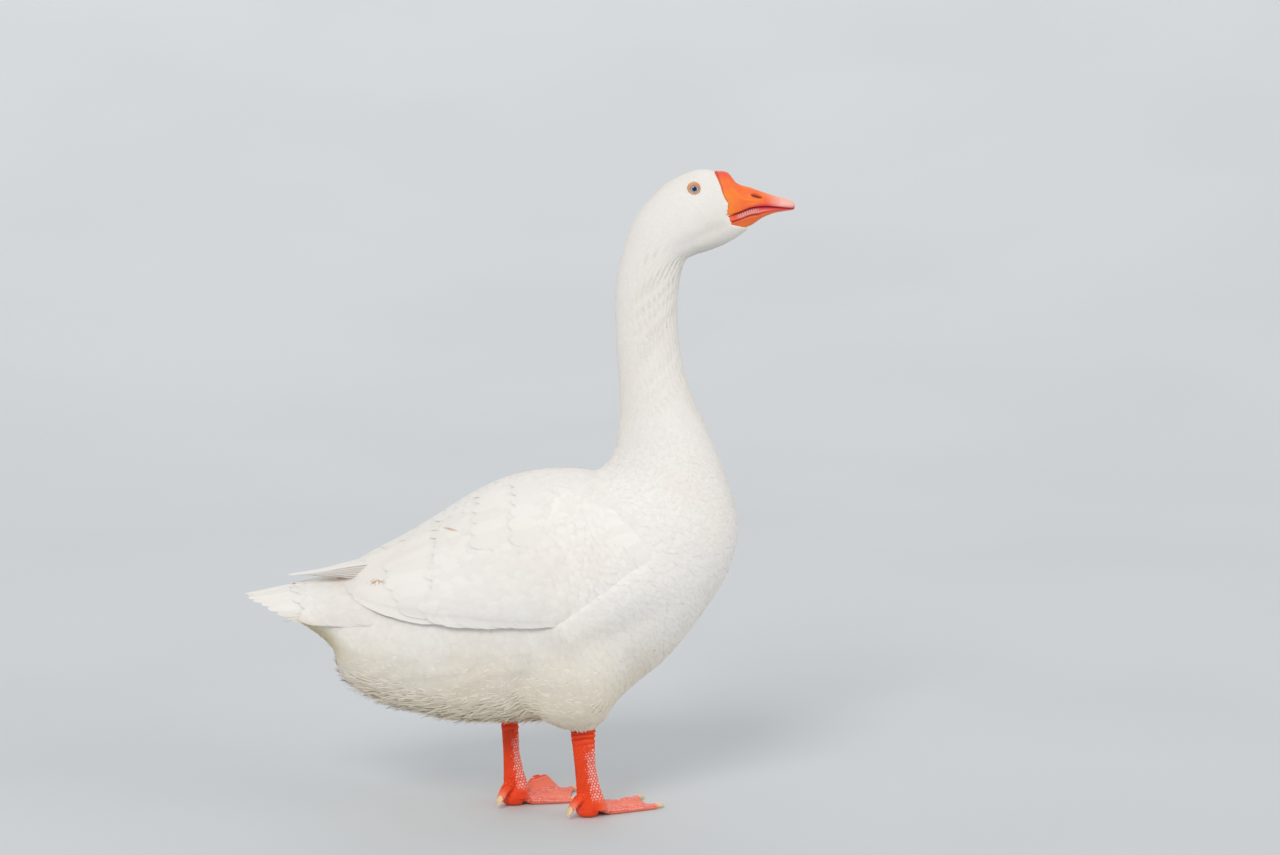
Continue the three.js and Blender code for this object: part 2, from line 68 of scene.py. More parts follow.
# Sections of the body from under the tail to the chin. Each is a flat ring through a point on the
# underside [x, z] and a point on the back [x, z]. Then its half width, how far up it is widest
# (0 at the underside, 1 at the back) and how much narrower the back is than the underside.
BODY = np.array([
    [-292, 244, -292, 252, 8, 0.5, 0],
    [-273, 234, -273, 248, 14, 0.5, 0],
    [-252, 222, -252, 243, 22, 0.5, 0],
    [-227, 207, -230, 256, 38, 0.5, 0],
    [-207, 188, -206, 268, 56, 0.5, 0],
    [-197, 158, -175, 286, 76, 0.52, 0],
    [-168, 136, -130, 308, 93, 0.52, 0],
    [-118, 118, -88, 332, 104, 0.52, 0],
    [-62, 107, -50, 355, 109, 0.52, 0],
    [0, 106, -12, 373, 112, 0.53, 0],
    [60, 109, 28, 384, 112, 0.54, 0],
    [102, 122, 54, 387, 109, 0.55, 0],
    [137, 151, 70, 388, 105, 0.55, 0],
    [170, 179, 81, 389, 99, 0.55, 0],
    [207, 225, 90, 391.5, 90, 0.54, 0],
    [234, 267, 97, 396, 81, 0.53, 0],
    [248, 306, 102, 401, 73, 0.52, 0],
    [249, 340, 106, 407, 66, 0.51, 0],
    [241, 371, 109, 414, 60, 0.5, 0.02],
    [229, 405, 112, 425, 53, 0.5, 0.03],
    [214, 440, 114.5, 444, 46, 0.5, 0.03],
    [199.5, 473, 115.5, 468, 39.5, 0.5, 0.03],
    [188.5, 508, 113.8, 506, 33.5, 0.5, 0.03],
    [181.8, 551, 110.8, 551, 31, 0.5, 0.03],
    [182.6, 598, 111.4, 600, 31, 0.5, 0.04],
    [189, 626, 119.5, 640, 31.5, 0.5, 0.06],
    [199, 634, 134, 677, 31.5, 0.5, 0.1],
    [213, 638.5, 165, 712, 31, 0.5, 0.16],
    [230, 645, 199, 728.6, 27.5, 0.5, 0.14],
    [247, 654, 222, 728, 20.5, 0.5, 0.1],
    [259, 663, 240, 716, 15.5, 0.5, 0.05],
])
CHIN = len(BODY) - 1
SECTIONS_PER_ROW = 14
RING = 208  # points round a section

# The edge of the face feathers in front: x where it passes a height z.
FACE_EDGE_Z = [655, 663.5, 667.5, 671.5, 679, 692, 702, 712, 728, 745]
FACE_EDGE_X = [267, 259, 238.5, 238.5, 233.5, 236.5, 230.8, 229, 223.2, 221]

# Stations of the bill along X: top line, mouth line, underside of the lower half, half width.
BILL = np.array([
    [206, 734, 676, 656, 20],
    [222, 728.5, 678, 658, 20],
    [236, 726.5, 678.5, 661, 19.2],
    [247, 714.5, 681, 662.5, 17.4],
    [262, 709.5, 686.5, 667.5, 15.8],
    [276, 704.5, 688, 676.5, 14.6],
    [289, 700.5, 687.5, 681.5, 13.4],
    [300, 697.5, 686.5, 683.5, 11],
    [308, 694.5, 686, 684.5, 7],
    [311, 691, 687, 686, 3],
])

EYE_CENTRE = (198, 18.2, 707)  # of the solid eye
EYE_SIDE_VIEW = (EYE_CENTRE[0] + 0.8, EYE_CENTRE[2] + 1.45)  # x and z of the eye between its lids
EYE_SUNK = 2.1  # how much deeper in the head than the solid eye it sits
EYE_RADIUS = 8.6
EYE_OVAL = 1.12  # how much longer than high the bare ground round the eye is
EYE_CLEAR = 5.7  # how far in front of and behind the middle of the eye no tuft may reach

# The folded wing. Rows: row of BODY, height of the lower edge, distance of the upper edge from
# the middle of the back, thickness.
WING = np.array([
    [4.3, 262, 9, 4],
    [5, 258, 8, 8],
    [6, 251, 8, 11],
    [7, 247, 8, 12],
    [8, 244, 10, 12],
    [9, 241, 16, 11],
    [10, 240, 26, 9],
    [11, 245, 38, 7.5],
    [12, 261, 50, 6.5],
    [12.8, 284, 62, 5],
    [13.6, 300, 72, 2.5],
    [14.6, 316, 80, 0],
])

# How much the outer half of a wing's tip hangs down, and how much lower the tip lies, by side: the
# left tip lies flat under the right one.
TIP_LEAN = {-1: 0.32, 1: 0.0}
TIP_DROP = {-1: 0.0, 1: 5.5}

# The tip of the folded wing: place along X, distance from the middle, height, half width,
# half thickness.
PRIMARIES = np.array([
    [-269, 8, 273, 2, 0.8],
    [-250, 13, 275.5, 8, 2],
    [-220, 20, 280, 15, 4],
    [-180, 30, 287, 21, 6],
    [-140, 38, 289, 22, 7],
])

TAIL_ROOT = -196
TAIL_TIP = -309
TAIL_FEATHERS = 16
# Sections of the tail: share of the way from the root to the tip, half width, height of the side
# edges and of the middle, and the power of the arch.
TAIL_SECTIONS = np.array([
    [-0.75, 95, 237, 322, 0.6],
    [-0.5, 91, 236, 309, 0.6],
    [-0.3, 88, 235, 296, 0.6],
    [0, 70, 232.5, 279, 0.64],
    [0.3, 57, 231, 268, 0.75],
    [0.6, 51, 229.5, 261, 0.9],
    [1, 49, 228, 252, 1],
    [1.1, 49, 227.5, 250, 1],
])

# Hip, hock and ankle are [x, y], a positive toes_turn is to the left and depth is the half length
# of the leg along X.
LEGS = {
    "right": dict(side=-1, hip=(67, -62), hock=(76, -40), ankle=(79.5, -28), toes_turn=52, depth=11.4),
    "left": dict(side=1, hip=(4, 62), hock=(-9.5, 40), ankle=(-7, 26), toes_turn=43, depth=10.2),
}
LEG_TOP = 116
LEG_HALF_WIDTH = 7.4
ANKLE_HEIGHT = 13

# Toes in the foot's own frame: turn in degrees, bare length, radius at the root and at the claw,
# and length of the claw.
TOES = {
    "inner": dict(turn=34, length=70, root=7, end=4.2, claw=10),
    "middle": dict(turn=0, length=94, root=7.5, end=4.4, claw=12),
    "outer": dict(turn=-27, length=88, root=7, end=4.2, claw=10),
    "hind": dict(turn=168, length=14, root=4.6, end=3.4, claw=7),
}
SOLE_FLAT = 1  # how much of the underside of a toe is pressed flat


# ---- Arithmetic on whole arrays ----

def smooth(low, high, value):
    """0 at low, 1 at high, and 3t^2 - 2t^3 between them. Low may be above high."""
    t = np.clip((value - low) / (high - low), 0, 1)
    return t * t * (3 - 2 * t)


def mix(a, b, t):
    """The value at share t of the way from a to b."""
    return a + (b - a) * t


def bell(distance):
    """exp(-d^2): 1 at no distance, 0.37 at a distance of 1."""
    return np.exp(-distance * distance)


def dot(a, b):
    """Sum of products over the last axis."""
    return np.sum(a * b, axis=-1)


def unit(a):
    """Each vector divided by its length."""
    return a / np.maximum(np.linalg.norm(a, axis=-1, keepdims=True), 1e-12)


def round_turn(count):
    """Angles evenly round a circle."""
    return 2 * np.pi * np.arange(count) / count


def rows_at(table, place):
    """Catmull-Rom curve through the rows of a table, at places counted in rows."""
    place = np.asarray(place, float)
    last = len(table) - 1
    i = np.clip(np.floor(place).astype(int), 0, last - 1)
    f = (place - i)[..., None]
    a, b, c, d = (table[np.clip(i + k, 0, last)] for k in (-1, 0, 1, 2))
    square, cube = 2 * a - 5 * b + 4 * c - d, 3 * b - a - 3 * c + d
    return 0.5 * (2 * b + (c - a) * f + square * f ** 2 + cube * f ** 3)


def columns_at(table, place):
    """The same curve as one array for each column of the table."""
    return np.moveaxis(rows_at(table, place), -1, 0)


def grid_of(u, v):
    """Both coordinates at every point of a grid, u counted along its first side."""
    return np.meshgrid(u, v, indexing="ij")


def place_of(table, value):
    """The place in rows, on straight lines between them, of a value of a table's first column."""
    return np.interp(value, table[:, 0], np.arange(len(table)))


def rows_at_x(table, x):
    """Rows of a table at given values of its first column, which rises all the way. Their places
    are taken from the curve itself."""
    places = np.linspace(0, len(table) - 1, 40 * len(table))
    return rows_at(table, np.interp(x, rows_at(table, places)[:, 0], places))


# ---- Meshes ----

def tube(rings):
    """A closed mesh through rings (m, k, 3) with a point in the middle of each end.
    Faces are turned outwards by the sign of the enclosed volume."""
    m, k = rings.shape[:2]
    points = np.concatenate([rings.reshape(-1, 3), rings[:1].mean(1), rings[-1:].mean(1)])
    place = np.arange(m * k).reshape(m, k)
    after = np.roll(place, -1, axis=1)
    quads = np.stack([place[:-1], after[:-1], after[1:], place[1:]], axis=-1).reshape(-1, 4)
    first = np.stack([after[0], place[0], np.full(k, m * k)], axis=-1)
    last = np.stack([place[-1], after[-1], np.full(k, m * k + 1)], axis=-1)
    tris = np.concatenate([first, last])
    halves = np.concatenate([quads[:, :3], quads[:, [0, 2, 3]], tris])
    a, b, c = (points[halves[:, n]] - points.mean(0) for n in range(3))
    if np.sum(dot(a, np.cross(b, c))) < 0:
        quads, tris = quads[:, ::-1], tris[:, ::-1]
    return points, quads, tris


def loop(rings):
    """A closed mesh through rings (m, k, 3) of which the last is joined to the first."""
    m, k = rings.shape[:2]
    points = rings.reshape(-1, 3)
    place = np.arange(m * k).reshape(m, k)
    after = np.roll(place, -1, axis=0)
    quads = np.stack([place, after, np.roll(after, -1, axis=1), np.roll(place, -1, axis=1)], axis=-1)
    quads = quads.reshape(-1, 4)
    a, b, c = (points[quads[:, n]] - points.mean(0) for n in range(3))
    if np.sum(dot(a, np.cross(b, c))) < 0:
        quads = quads[:, ::-1]
    return points, quads, np.zeros((0, 3), int)


def joined(parts):
    """Several (points, quads, tris) as one."""
    points, quads, tris, start = [], [], [], 0
    for p, q, t in parts:
        points.append(p)
        quads.append(q + start)
        tris.append(t + start)
        start += len(p)
    return np.concatenate(points), np.concatenate(quads), np.concatenate(tris)


def to_metres(points):
    """Points of the tables in metres of the frame."""
    return (points + np.array([SHIFT, 0, 0])) * MM


def set_marks(mesh, marks):
    """Number attributes of a mesh, with one value a point."""
    for key, values in marks.items():
        layer = mesh.attributes.new(key, "FLOAT", "POINT")
        layer.data.foreach_set("value", np.asarray(values, np.float32).ravel())


def build_mesh(name, points, quads, tris, maps=None, marks=None, shading=None):
    """A mesh from points in millimetres of the tables. Maps are UV maps and marks are number
    attributes, both with one value a point. Shading gives a normal for each point and, for each
    face, 1 or -1 for whether it looks that way or the other."""
    points = to_metres(points)
    loops = np.concatenate([quads.ravel(), tris.ravel()]).astype(np.int32)
    sizes = np.concatenate([np.full(len(quads), 4), np.full(len(tris), 3)])
    starts = np.concatenate([[0], np.cumsum(sizes)[:-1]]).astype(np.int32)
    mesh = bpy.data.meshes.new(name)
    mesh.vertices.add(len(points))
    mesh.vertices.foreach_set("co", points.astype(np.float32).ravel())
    mesh.loops.add(len(loops))
    mesh.loops.foreach_set("vertex_index", loops)
    mesh.polygons.add(len(sizes))
    mesh.polygons.foreach_set("loop_start", starts)
    mesh.update(calc_edges=True)
    for key, values in (maps or {}).items():
        layer = mesh.uv_layers.new(name=key)
        layer.uv.foreach_set("vector", values[loops].astype(np.float32).ravel())
    set_marks(mesh, marks or {})
    mesh.shade_smooth()
    if shading:
        normals, sides = shading
        layer = mesh.attributes.new("custom_normal", "FLOAT_VECTOR", "CORNER")
        loop_sides = np.repeat(sides, sizes)
        turned = normals[loops] * loop_sides[:, None]
        layer.data.foreach_set("vector", turned.astype(np.float32).ravel())
        edges = np.empty(len(loops), np.int32)
        mesh.loops.foreach_get("edge_index", edges)
        rim = np.bincount(edges, loop_sides, len(mesh.edges)) == 0
        mesh.attributes.new("sharp_edge", "BOOLEAN", "EDGE").data.foreach_set("value", rim)
    if mesh.validate():
        raise RuntimeError(f"{name} has faults in its faces")
    return mesh


def add_piece(name, mesh, look, slot, *nodes):
    """The mesh as an object that rides on the goose, with its material and the CAD nodes that it
    stands for, which are hidden. The slot is not used."""
    piece = bpy.data.objects.new(name, mesh)
    bpy.context.scene.collection.objects.link(piece)
    mesh.materials.clear()
    mesh.materials.append(look)
    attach(piece, "root")
    if nodes:
        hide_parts(*nodes)
    return piece


def read_mesh(mesh):
    """Points in millimetres of the tables and point normals of a mesh."""
    points = np.empty(len(mesh.vertices) * 3, np.float32)
    mesh.vertices.foreach_get("co", points)
    normals = np.empty(len(mesh.vertices) * 3, np.float32)
    mesh.vertex_normals.foreach_get("vector", normals)
    points = points.reshape(-1, 3).astype(float) / MM - np.array([SHIFT, 0, 0])
    return points, normals.reshape(-1, 3).astype(float)


def with_modifiers(mesh, *steps):
    """The mesh after modifiers, each a (type, settings) pair."""
    holder = bpy.data.objects.new("holder", mesh)
    bpy.context.scene.collection.objects.link(holder)
    for kind, settings in steps:
        modifier = holder.modifiers.new(kind.lower(), kind)
        for key, value in settings.items():
            setattr(modifier, key, value)
    graph = bpy.context.evaluated_depsgraph_get()
    made = bpy.data.meshes.new_from_object(holder.evaluated_get(graph))
    bpy.data.objects.remove(holder)
    return made


# ---- Sheets that feathers lie on ----

class Sheet:
    """A smooth surface known on a grid, in millimetres: u counts along it and v across or around
    it. Feathers run along it in the direction of flow, 1 with u and -1 against it."""

    def __init__(self, points, u, v, flow, outward, wraps=False, mark=None):
        self.u0, self.du = u[0], u[1] - u[0]
        self.v0, self.dv = v[0], v[1] - v[0]
        self.u, self.v, self.flow, self.wraps = u, v, flow, wraps
        along = np.gradient(points, self.du, axis=0)
        if wraps:
            across = (np.roll(points, -1, axis=1) - np.roll(points, 1, axis=1)) / (2 * self.dv)
        else:
            across = np.gradient(points, self.dv, axis=1)
        normal = np.cross(across, along)
        self.cell = np.linalg.norm(normal, axis=-1) * self.du * self.dv
        normal = unit(normal)
        if np.sum(dot(normal, outward(points))) < 0:
            normal = -normal
        if mark is None:
            mark = np.zeros(points.shape[:2])
        self.grid = np.concatenate([points, normal, along, across, mark[..., None]], axis=-1)

    def at(self, u, v):
        """Place, normal, slope along, slope across and mark at (u, v), mixed between the four
        grid points around it."""
        i = np.clip((u - self.u0) / self.du, 0, len(self.u) - 1.0001)
        j = (v - self.v0) / self.dv
        count = len(self.v)
        if not self.wraps:
            j = np.clip(j, 0, count - 1.0001)
        i0, j0 = np.floor(i).astype(int), np.floor(j).astype(int)
        f, g = (i - i0)[..., None], (j - j0)[..., None]
        j1 = (j0 + 1) % count
        j0 = j0 % count
        near = self.grid[i0, j0] * (1 - g) + self.grid[i0, j1] * g
        far = self.grid[i0 + 1, j0] * (1 - g) + self.grid[i0 + 1, j1] * g
        value = near * (1 - f) + far * f
        return value[..., :3], unit(value[..., 3:6]), value[..., 6:9], value[..., 9:12], value[..., 12]

    @staticmethod
    def step(along, across, move):
        """How far u and v go for a move in space: the move's parts along the two slopes, divided
        by the metric of the slopes."""
        aa, cc, ac = dot(along, along), dot(across, across), dot(along, across)
        ma, mc = dot(move, along), dot(move, across)
        determinant = np.maximum(aa * cc - ac * ac, 1e-3 * aa * cc + 1e-9)
        return (ma * cc - mc * ac) / determinant, (mc * aa - ma * ac) / determinant

    def scatter(self, spacing, around, rng, u_low, u_high, jitter=0.3):
        """Places (u, v) spread like bricks over the band from u_low to u_high, so that each has
        spacing(u) squared of area. Around is how many stand side by side."""
        u_grid = np.linspace(u_low, u_high, 160)
        v_grid = self.v
        uu, vv = grid_of(u_grid, v_grid)
        _, _, along, across, _ = self.at(uu, vv)
        area = np.linalg.norm(np.cross(along, across), axis=-1) * (u_grid[1] - u_grid[0]) * self.dv
        weight = area / spacing(u_grid)[:, None] ** 2
        by_row = weight.sum(1)
        rows = max(2, int(round(by_row.sum() / around)))
        i, j = grid_of(np.arange(rows), np.arange(around))
        a = (i + 0.5 + jitter * rng.uniform(-1, 1, i.shape)) / rows
        b = (j + 0.5 * (i % 2) + 0.25 + jitter * rng.uniform(-1, 1, i.shape)) / around
        a, b = np.clip(a, 0, 1).ravel(), (b.ravel() % 1 if self.wraps else np.clip(b.ravel(), 0, 1))
        so_far = np.cumsum(by_row) / by_row.sum()
        u = np.interp(a, np.concatenate([[0], so_far]), np.concatenate([[u_low], u_grid]))
        row = np.clip(np.searchsorted(so_far, a), 0, len(u_grid) - 1)
        share = np.cumsum(weight, axis=1) / by_row[:, None]
        flat = (share + np.arange(len(u_grid))[:, None]).ravel()
        column = np.clip(np.searchsorted(flat, row + b) - row * len(v_grid), 0, len(v_grid) - 1)
        before = np.where(column > 0, share[row, column - 1], 0)
        f = (b - before) / np.maximum(share[row, column] - before, 1e-9)
        return u, v_grid[column] + (np.clip(f, 0, 1) - 0.5) * self.dv


class Vane:
    """The pattern of one kind of feather. It is a closed sliver with a point at its root and at
    its tip: rings at shares of its length, each with points across its top and under it."""

    def __init__(self, shares, widths, across, under=(), thickness=0.3, rachis=0.0):
        self.shares, self.widths = np.array(shares), np.array(widths)
        self.across = np.array([*across, *under])
        self.is_under = np.array([False] * len(across) + [True] * len(under))
        self.thickness, self.rachis = thickness, rachis
        k, m = len(self.across), len(shares)
        ring = np.arange(k)
        after = (ring + 1) % k
        starts = 1 + k * np.arange(m - 1)[:, None]
        self.quads = np.stack([starts + ring, starts + k + ring, starts + k + after, starts + after], -1)
        self.quads = self.quads.reshape(-1, 4)
        last = 1 + k * (m - 1)
        tip = 1 + k * m
        self.tris = np.concatenate([
            np.stack([np.zeros(k, int), 1 + ring, 1 + after], -1),
            np.stack([last + ring, np.full(k, tip), last + after], -1),
        ])
        self.count = tip + 1
        self.top = len(across)
        faces_under = ring >= self.top - 1
        self.quad_sides = np.where(np.tile(faces_under, m - 1), -1, 1)
        self.tri_sides = np.where(np.tile(faces_under, 2), -1, 1)

    def soft_normals(self, points, normals, relief):
        """Normals between those of the sheet, given for every point, and those of the vane's own
        top, by the share relief."""
        n = len(points)
        top = points[:, 1:-1].reshape(n, len(self.shares), -1, 3)[:, :, :self.top]
        base = normals[:, 1:-1].reshape(n, len(self.shares), -1, 3)
        along = np.gradient(top, axis=1)
        own = unit(np.cross(np.gradient(top, axis=2), along))
        facing = base[:, :, :self.top]
        own = own * np.sign(dot(own, facing))[..., None]
        base[:, :, :self.top] = unit(mix(facing, own, relief))
        return np.concatenate([normals[:, :1], base.reshape(n, -1, 3), normals[:, -1:]], axis=1)


def lay(sheet, vane, u, v, length, half_width, turn=0.0, root_depth=2.0, tip_depth=0.2, cup=0.3,
        lift=0.0, roll=0.0, skew=0.0, fray=0.0, bend=0.0, relief=0.38, rng=None):
    """Feathers laid on a sheet. Each starts at (u, v) and walks its length along the flow, turned
    about the normal, in steps that keep to the surface. Its points lie across that path, at a
    depth under the sheet that goes from root_depth to tip_depth, with edges bent down by cup,
    the tip raised by lift and the whole rolled to one side. Returns points, faces and marks."""
    n = len(u)
    spread = [np.broadcast_to(np.asarray(a, float), n) for a in
              (length, half_width, turn, root_depth, tip_depth, cup, lift, roll, skew, bend)]
    length, half_width, turn, root_depth, tip_depth, cup, lift, roll, skew, bend = spread
    stations = np.concatenate([[0], vane.shares, [1]])
    path, u_now, v_now = [], u.copy(), v.copy()
    for i, share in enumerate(stations):
        _, normal, along, across, _ = sheet.at(u_now, v_now)
        flow = unit(along) * sheet.flow
        angle = (turn + bend * share)[:, None]
        heading = flow * np.cos(angle) + np.cross(normal, flow) * np.sin(angle)
        path.append((u_now, v_now, np.cross(normal, heading)))
        if i < len(stations) - 1:
            move = heading * (length * (stations[i + 1] - share))[:, None]
            du, dv = sheet.step(along, across, move)
            u_now, v_now = u_now + du, v_now + dv
    u_path, v_path, sides = (np.stack([p[n] for p in path]) for n in range(3))
    k = len(vane.across)
    x = vane.across[None, :, None]
    width = vane.widths[:, None, None] * half_width
    if fray > 0:
        width = width * (1 - fray * rng.uniform(0, 1, (len(vane.shares), k, n)))
    reach = width * (x + skew * (1 - x * x))
    base_u = np.broadcast_to(u_path[1:-1, None], reach.shape)
    base_v = np.broadcast_to(v_path[1:-1, None], reach.shape)
    _, _, along, across, _ = sheet.at(base_u, base_v)
    du, dv = sheet.step(along, across, sides[1:-1, None] * reach[..., None])
    share = vane.shares[:, None, None]
    height = -mix(root_depth, tip_depth, share ** 0.85) + lift * share ** 3
    height = height - cup * x * x * width + roll * reach
    height = height + vane.rachis * bell(x / 0.09) * (1 - 0.7 * share)
    height = height - np.where(vane.is_under[None, :, None], vane.thickness * (1 - 0.7 * abs(x)), 0)
    place, normal, _, _, mark = sheet.at(base_u + du, base_v + dv)
    rings = place + normal * height[..., None]
    ends = []
    for end, depth in ((0, -root_depth), (-1, lift - tip_depth)):
        p, end_normal, _, _, end_mark = sheet.at(u_path[end], v_path[end])
        ends.append((p + end_normal * depth[:, None], end_normal, end_mark))

    def whole(first, middle, last):
        """One array a feather from its root's value, its rings' and its tip's."""
        return np.concatenate([first[:, None], np.moveaxis(middle, 2, 0).reshape(n, -1, *middle.shape[3:]),
                               last[:, None]], axis=1)

    points = whole(ends[0][0], rings, ends[1][0])
    normals = vane.soft_normals(points, whole(ends[0][1], normal, ends[1][1]), relief)
    marks = whole(ends[0][2], mark, ends[1][2])
    across_all = np.concatenate([[0], np.tile(vane.across, len(vane.shares)), [0]])
    share_all = np.concatenate([[0], np.repeat(vane.shares, k), [1]])
    start = (np.arange(n) * vane.count)[:, None, None]
    return dict(
        points=points.reshape(-1, 3),
        normals=normals.reshape(-1, 3),
        quad_sides=np.tile(vane.quad_sides, n),
        tri_sides=np.tile(vane.tri_sides, n),
        quads=(vane.quads[None] + start).reshape(-1, 4),
        tris=(vane.tris[None] + start).reshape(-1, 3),
        mark=marks.ravel(),
        vane=np.tile(np.stack([0.5 + 0.5 * across_all, share_all], -1), (n, 1)),
        root=np.repeat(np.stack([u, v], -1), vane.count, axis=0),
        tone=np.repeat(rng.uniform(0, 1, n), vane.count),
    )


PATCH = 0.003  # width of a feather's patch in the bake map


def add_coat(name, groups, u_span, v_span, look, slot, *nodes):
    """One piece from feathers laid on one sheet. In the map OFBake each feather is a small patch
    at its root's place on the sheet, whose u and v spans fill the map."""
    keys = ("points", "mark", "vane", "root", "tone", "normals", "quad_sides", "tri_sides")
    whole = {key: np.concatenate([g[key] for g in groups]) for key in keys}
    _, quads, tris = joined([(g["points"], g["quads"], g["tris"]) for g in groups])
    root = whole["root"]
    place = np.stack([(root[:, 1] - v_span[0]) / (v_span[1] - v_span[0]),
                      (root[:, 0] - u_span[0]) / (u_span[1] - u_span[0])], -1)
    bake = 0.01 + 0.98 * np.clip(place, 0, 1) + (whole["vane"] - 0.5) * PATCH
    maps = {"OFBake": bake, "Vane": whole["vane"]}
    # The furrow mark places the painted shade in the grooves of the neck.
    marks = {"furrow": whole["mark"], "tone": whole["tone"]}
    sides = np.concatenate([whole["quad_sides"], whole["tri_sides"]])
    mesh = build_mesh(name, whole["points"], quads, tris, maps, marks, (whole["normals"], sides))
    return add_piece(name, mesh, look, slot, *nodes)


# ---- Body surface ----

def body_points(row, angle, grow=0.0):
    """Points of the body. The angle runs from the left side over the back. A section is two half
    ellipses on the line from belly to back, which meet where it is widest."""
    belly_x, belly_z, back_x, back_z, half_width, widest, narrowing = columns_at(BODY, row)
    up_x, up_z = back_x - belly_x, back_z - belly_z
    height = np.hypot(up_x, up_z)
    rise = np.sin(angle)
    reach = height * np.where(rise > 0, 1 - widest, widest) + grow
    up = height * widest + reach * rise
    y = (half_width + grow) * np.cos(angle) * (1 - narrowing * rise)
    return np.stack([belly_x + up_x / height * up, y, belly_z + up_z / height * up], axis=-1)


def soft_least(a, b, width):
    """The lesser of two numbers, rounded off where they are nearer than the width."""
    near = np.clip(1 - np.abs(a - b) / width, 0, 1)
    return np.minimum(a, b) - width * near * near / 4


def angle_at_height(row, z):
    """The angle on the left side at which the section at a row passes the height z."""
    belly_x, belly_z, back_x, back_z, _, widest, _ = columns_at(BODY, row)
    rise = back_z - belly_z
    rise = np.where(np.abs(rise) < 1, 1, rise)
    height = np.hypot(back_x - belly_x, rise)
    up = (z - belly_z) / rise * height - height * widest
    reach = height * np.where(up > 0, 1 - widest, widest)
    return np.arcsin(np.clip(up / reach, -1, 1))


def from_throat(angle):
    """How far an angle is from the middle of the throat or belly, 0 to pi."""
    return np.abs((angle + np.pi / 2 + np.pi) % (2 * np.pi) - np.pi)


FURROW_GAP = 5.6  # from one furrow to the next
NECK_RADIUS = 33
CHEEK_GROOVE = ((240, 671), (178, 643))  # the soft hollow under the cheek, in side view


def furrows(points, angle):
    """The neck's furrows, 0 on the ridges and 1 in the grooves: a wave over the arc from the
    throat, leaning back under the jaw, that fades to the nape and down the neck."""
    z = points[..., 2]
    phi = from_throat(angle)
    side = np.sign(points[..., 1])
    lean = -13 * smooth(598, 656, z)
    sway = (0.5 * np.sin(z / 23 + 1.7 * phi + side) + 0.3 * np.sin(z / 9.3 + 4 * phi + 2 * side)
            + 0.14 * np.sin(z / 3.7 + 5 * phi))
    wave = np.cos(2 * np.pi * ((phi * NECK_RADIUS - lean) / FURROW_GAP + sway + 0.3 * side))
    where = smooth(0.12, 0.5, phi) * smooth(2.25, 1.5, phi) * smooth(435, 540, z) * smooth(655, 618, z)
    breaks = np.sin(z / 3.9 + 8 * phi + 2.2 * np.sin(z / 14 + 2 * phi) + 3 * side)
    return (0.5 + 0.5 * wave) ** 2.2 * where * (0.12 + 0.88 * smooth(-0.5, 0.6, breaks))


def segment_distance(x, z, start, end):
    """Distance in side view from a line between two points, and the share along it."""
    dx, dz = end[0] - start[0], end[1] - start[1]
    share = ((x - start[0]) * dx + (z - start[1]) * dz) / (dx * dx + dz * dz)
    near = np.clip(share, 0, 1)
    return np.hypot(x - start[0] - near * dx, z - start[1] - near * dz), share


def polyline_distance(x, z, line):
    """Smallest distance in side view from the parts of a line."""
    return np.minimum.reduce([segment_distance(x, z, a, b)[0] for a, b in zip(line[:-1], line[1:])])


def ahead_of_face(x, z):
    """How far in front of the feather edge of the face a point in side view is."""
    return x - np.interp(z, FACE_EDGE_Z, FACE_EDGE_X)


def relief(points, angle):
    """How far the outer surface of the feathers stands out from the plain sections: furrows of
    the neck, the soft hollow under the cheek, the cheek itself, the brow, the hollow of the eye,
    the fold over the wing, the creases behind the thighs and the loose down of the belly."""
    x, y, z = np.moveaxis(points, -1, 0)
    out = -1.55 * furrows(points, angle)
    distance, share = segment_distance(x, z, *CHEEK_GROOVE)
    groove = bell(distance / 7) * smooth(-0.1, 0.3, share) * smooth(1.15, 0.6, share)
    cheek = bell(np.hypot((x - 208) / 22, (z - 685) / 13))
    from_eye = np.hypot(x - EYE_SIDE_VIEW[0], EYE_OVAL * (z - EYE_SIDE_VIEW[1]))
    brow = bell(np.hypot((x - 200) / 12, (z - 718.5) / 5))
    socket = smooth(6.9, 5.2, from_eye)
    hollow = bell((from_eye - 9.2) / 2.6)
    on_side = smooth(6, 14, abs(y)) * smooth(600, 637.5, z)
    out = out + on_side * (0.9 * cheek + 1.5 * brow - 1.5 * groove - 1.35 * socket - 0.15 * hollow)
    down = np.sin(x / 13 + 2.1 * np.sin(z / 10 + 0.02 * y)) * np.sin(z / 6 + y / 16 + 1.4 * np.sin(x / 15))
    out = out + 0.8 * down * smooth(225, 180, z) * smooth(96, 40, x) * smooth(250, 240, z)
    out = out - 4.6 * behind_thigh(x, y, z)
    return out + fold_lip(points)


def out_of_thigh(points, leg):
    """About how far points lie outside the upper part of a thigh: the stretched distance from its
    level ellipses, closed below."""
    x, y, z = np.moveaxis(points, -1, 0)
    (mid_x, mid_y, along, across), _ = thigh_sections(leg, z)
    reach = np.sqrt(((x - mid_x) / along) ** 2 + ((y - mid_y) / across) ** 2
                    + np.maximum((THIGH_FLOOR - z) / 12, 0) ** 2 + np.maximum((z - 235) / 20, 0) ** 2)
    return (reach - 1) * np.minimum(along, across) * 0.9


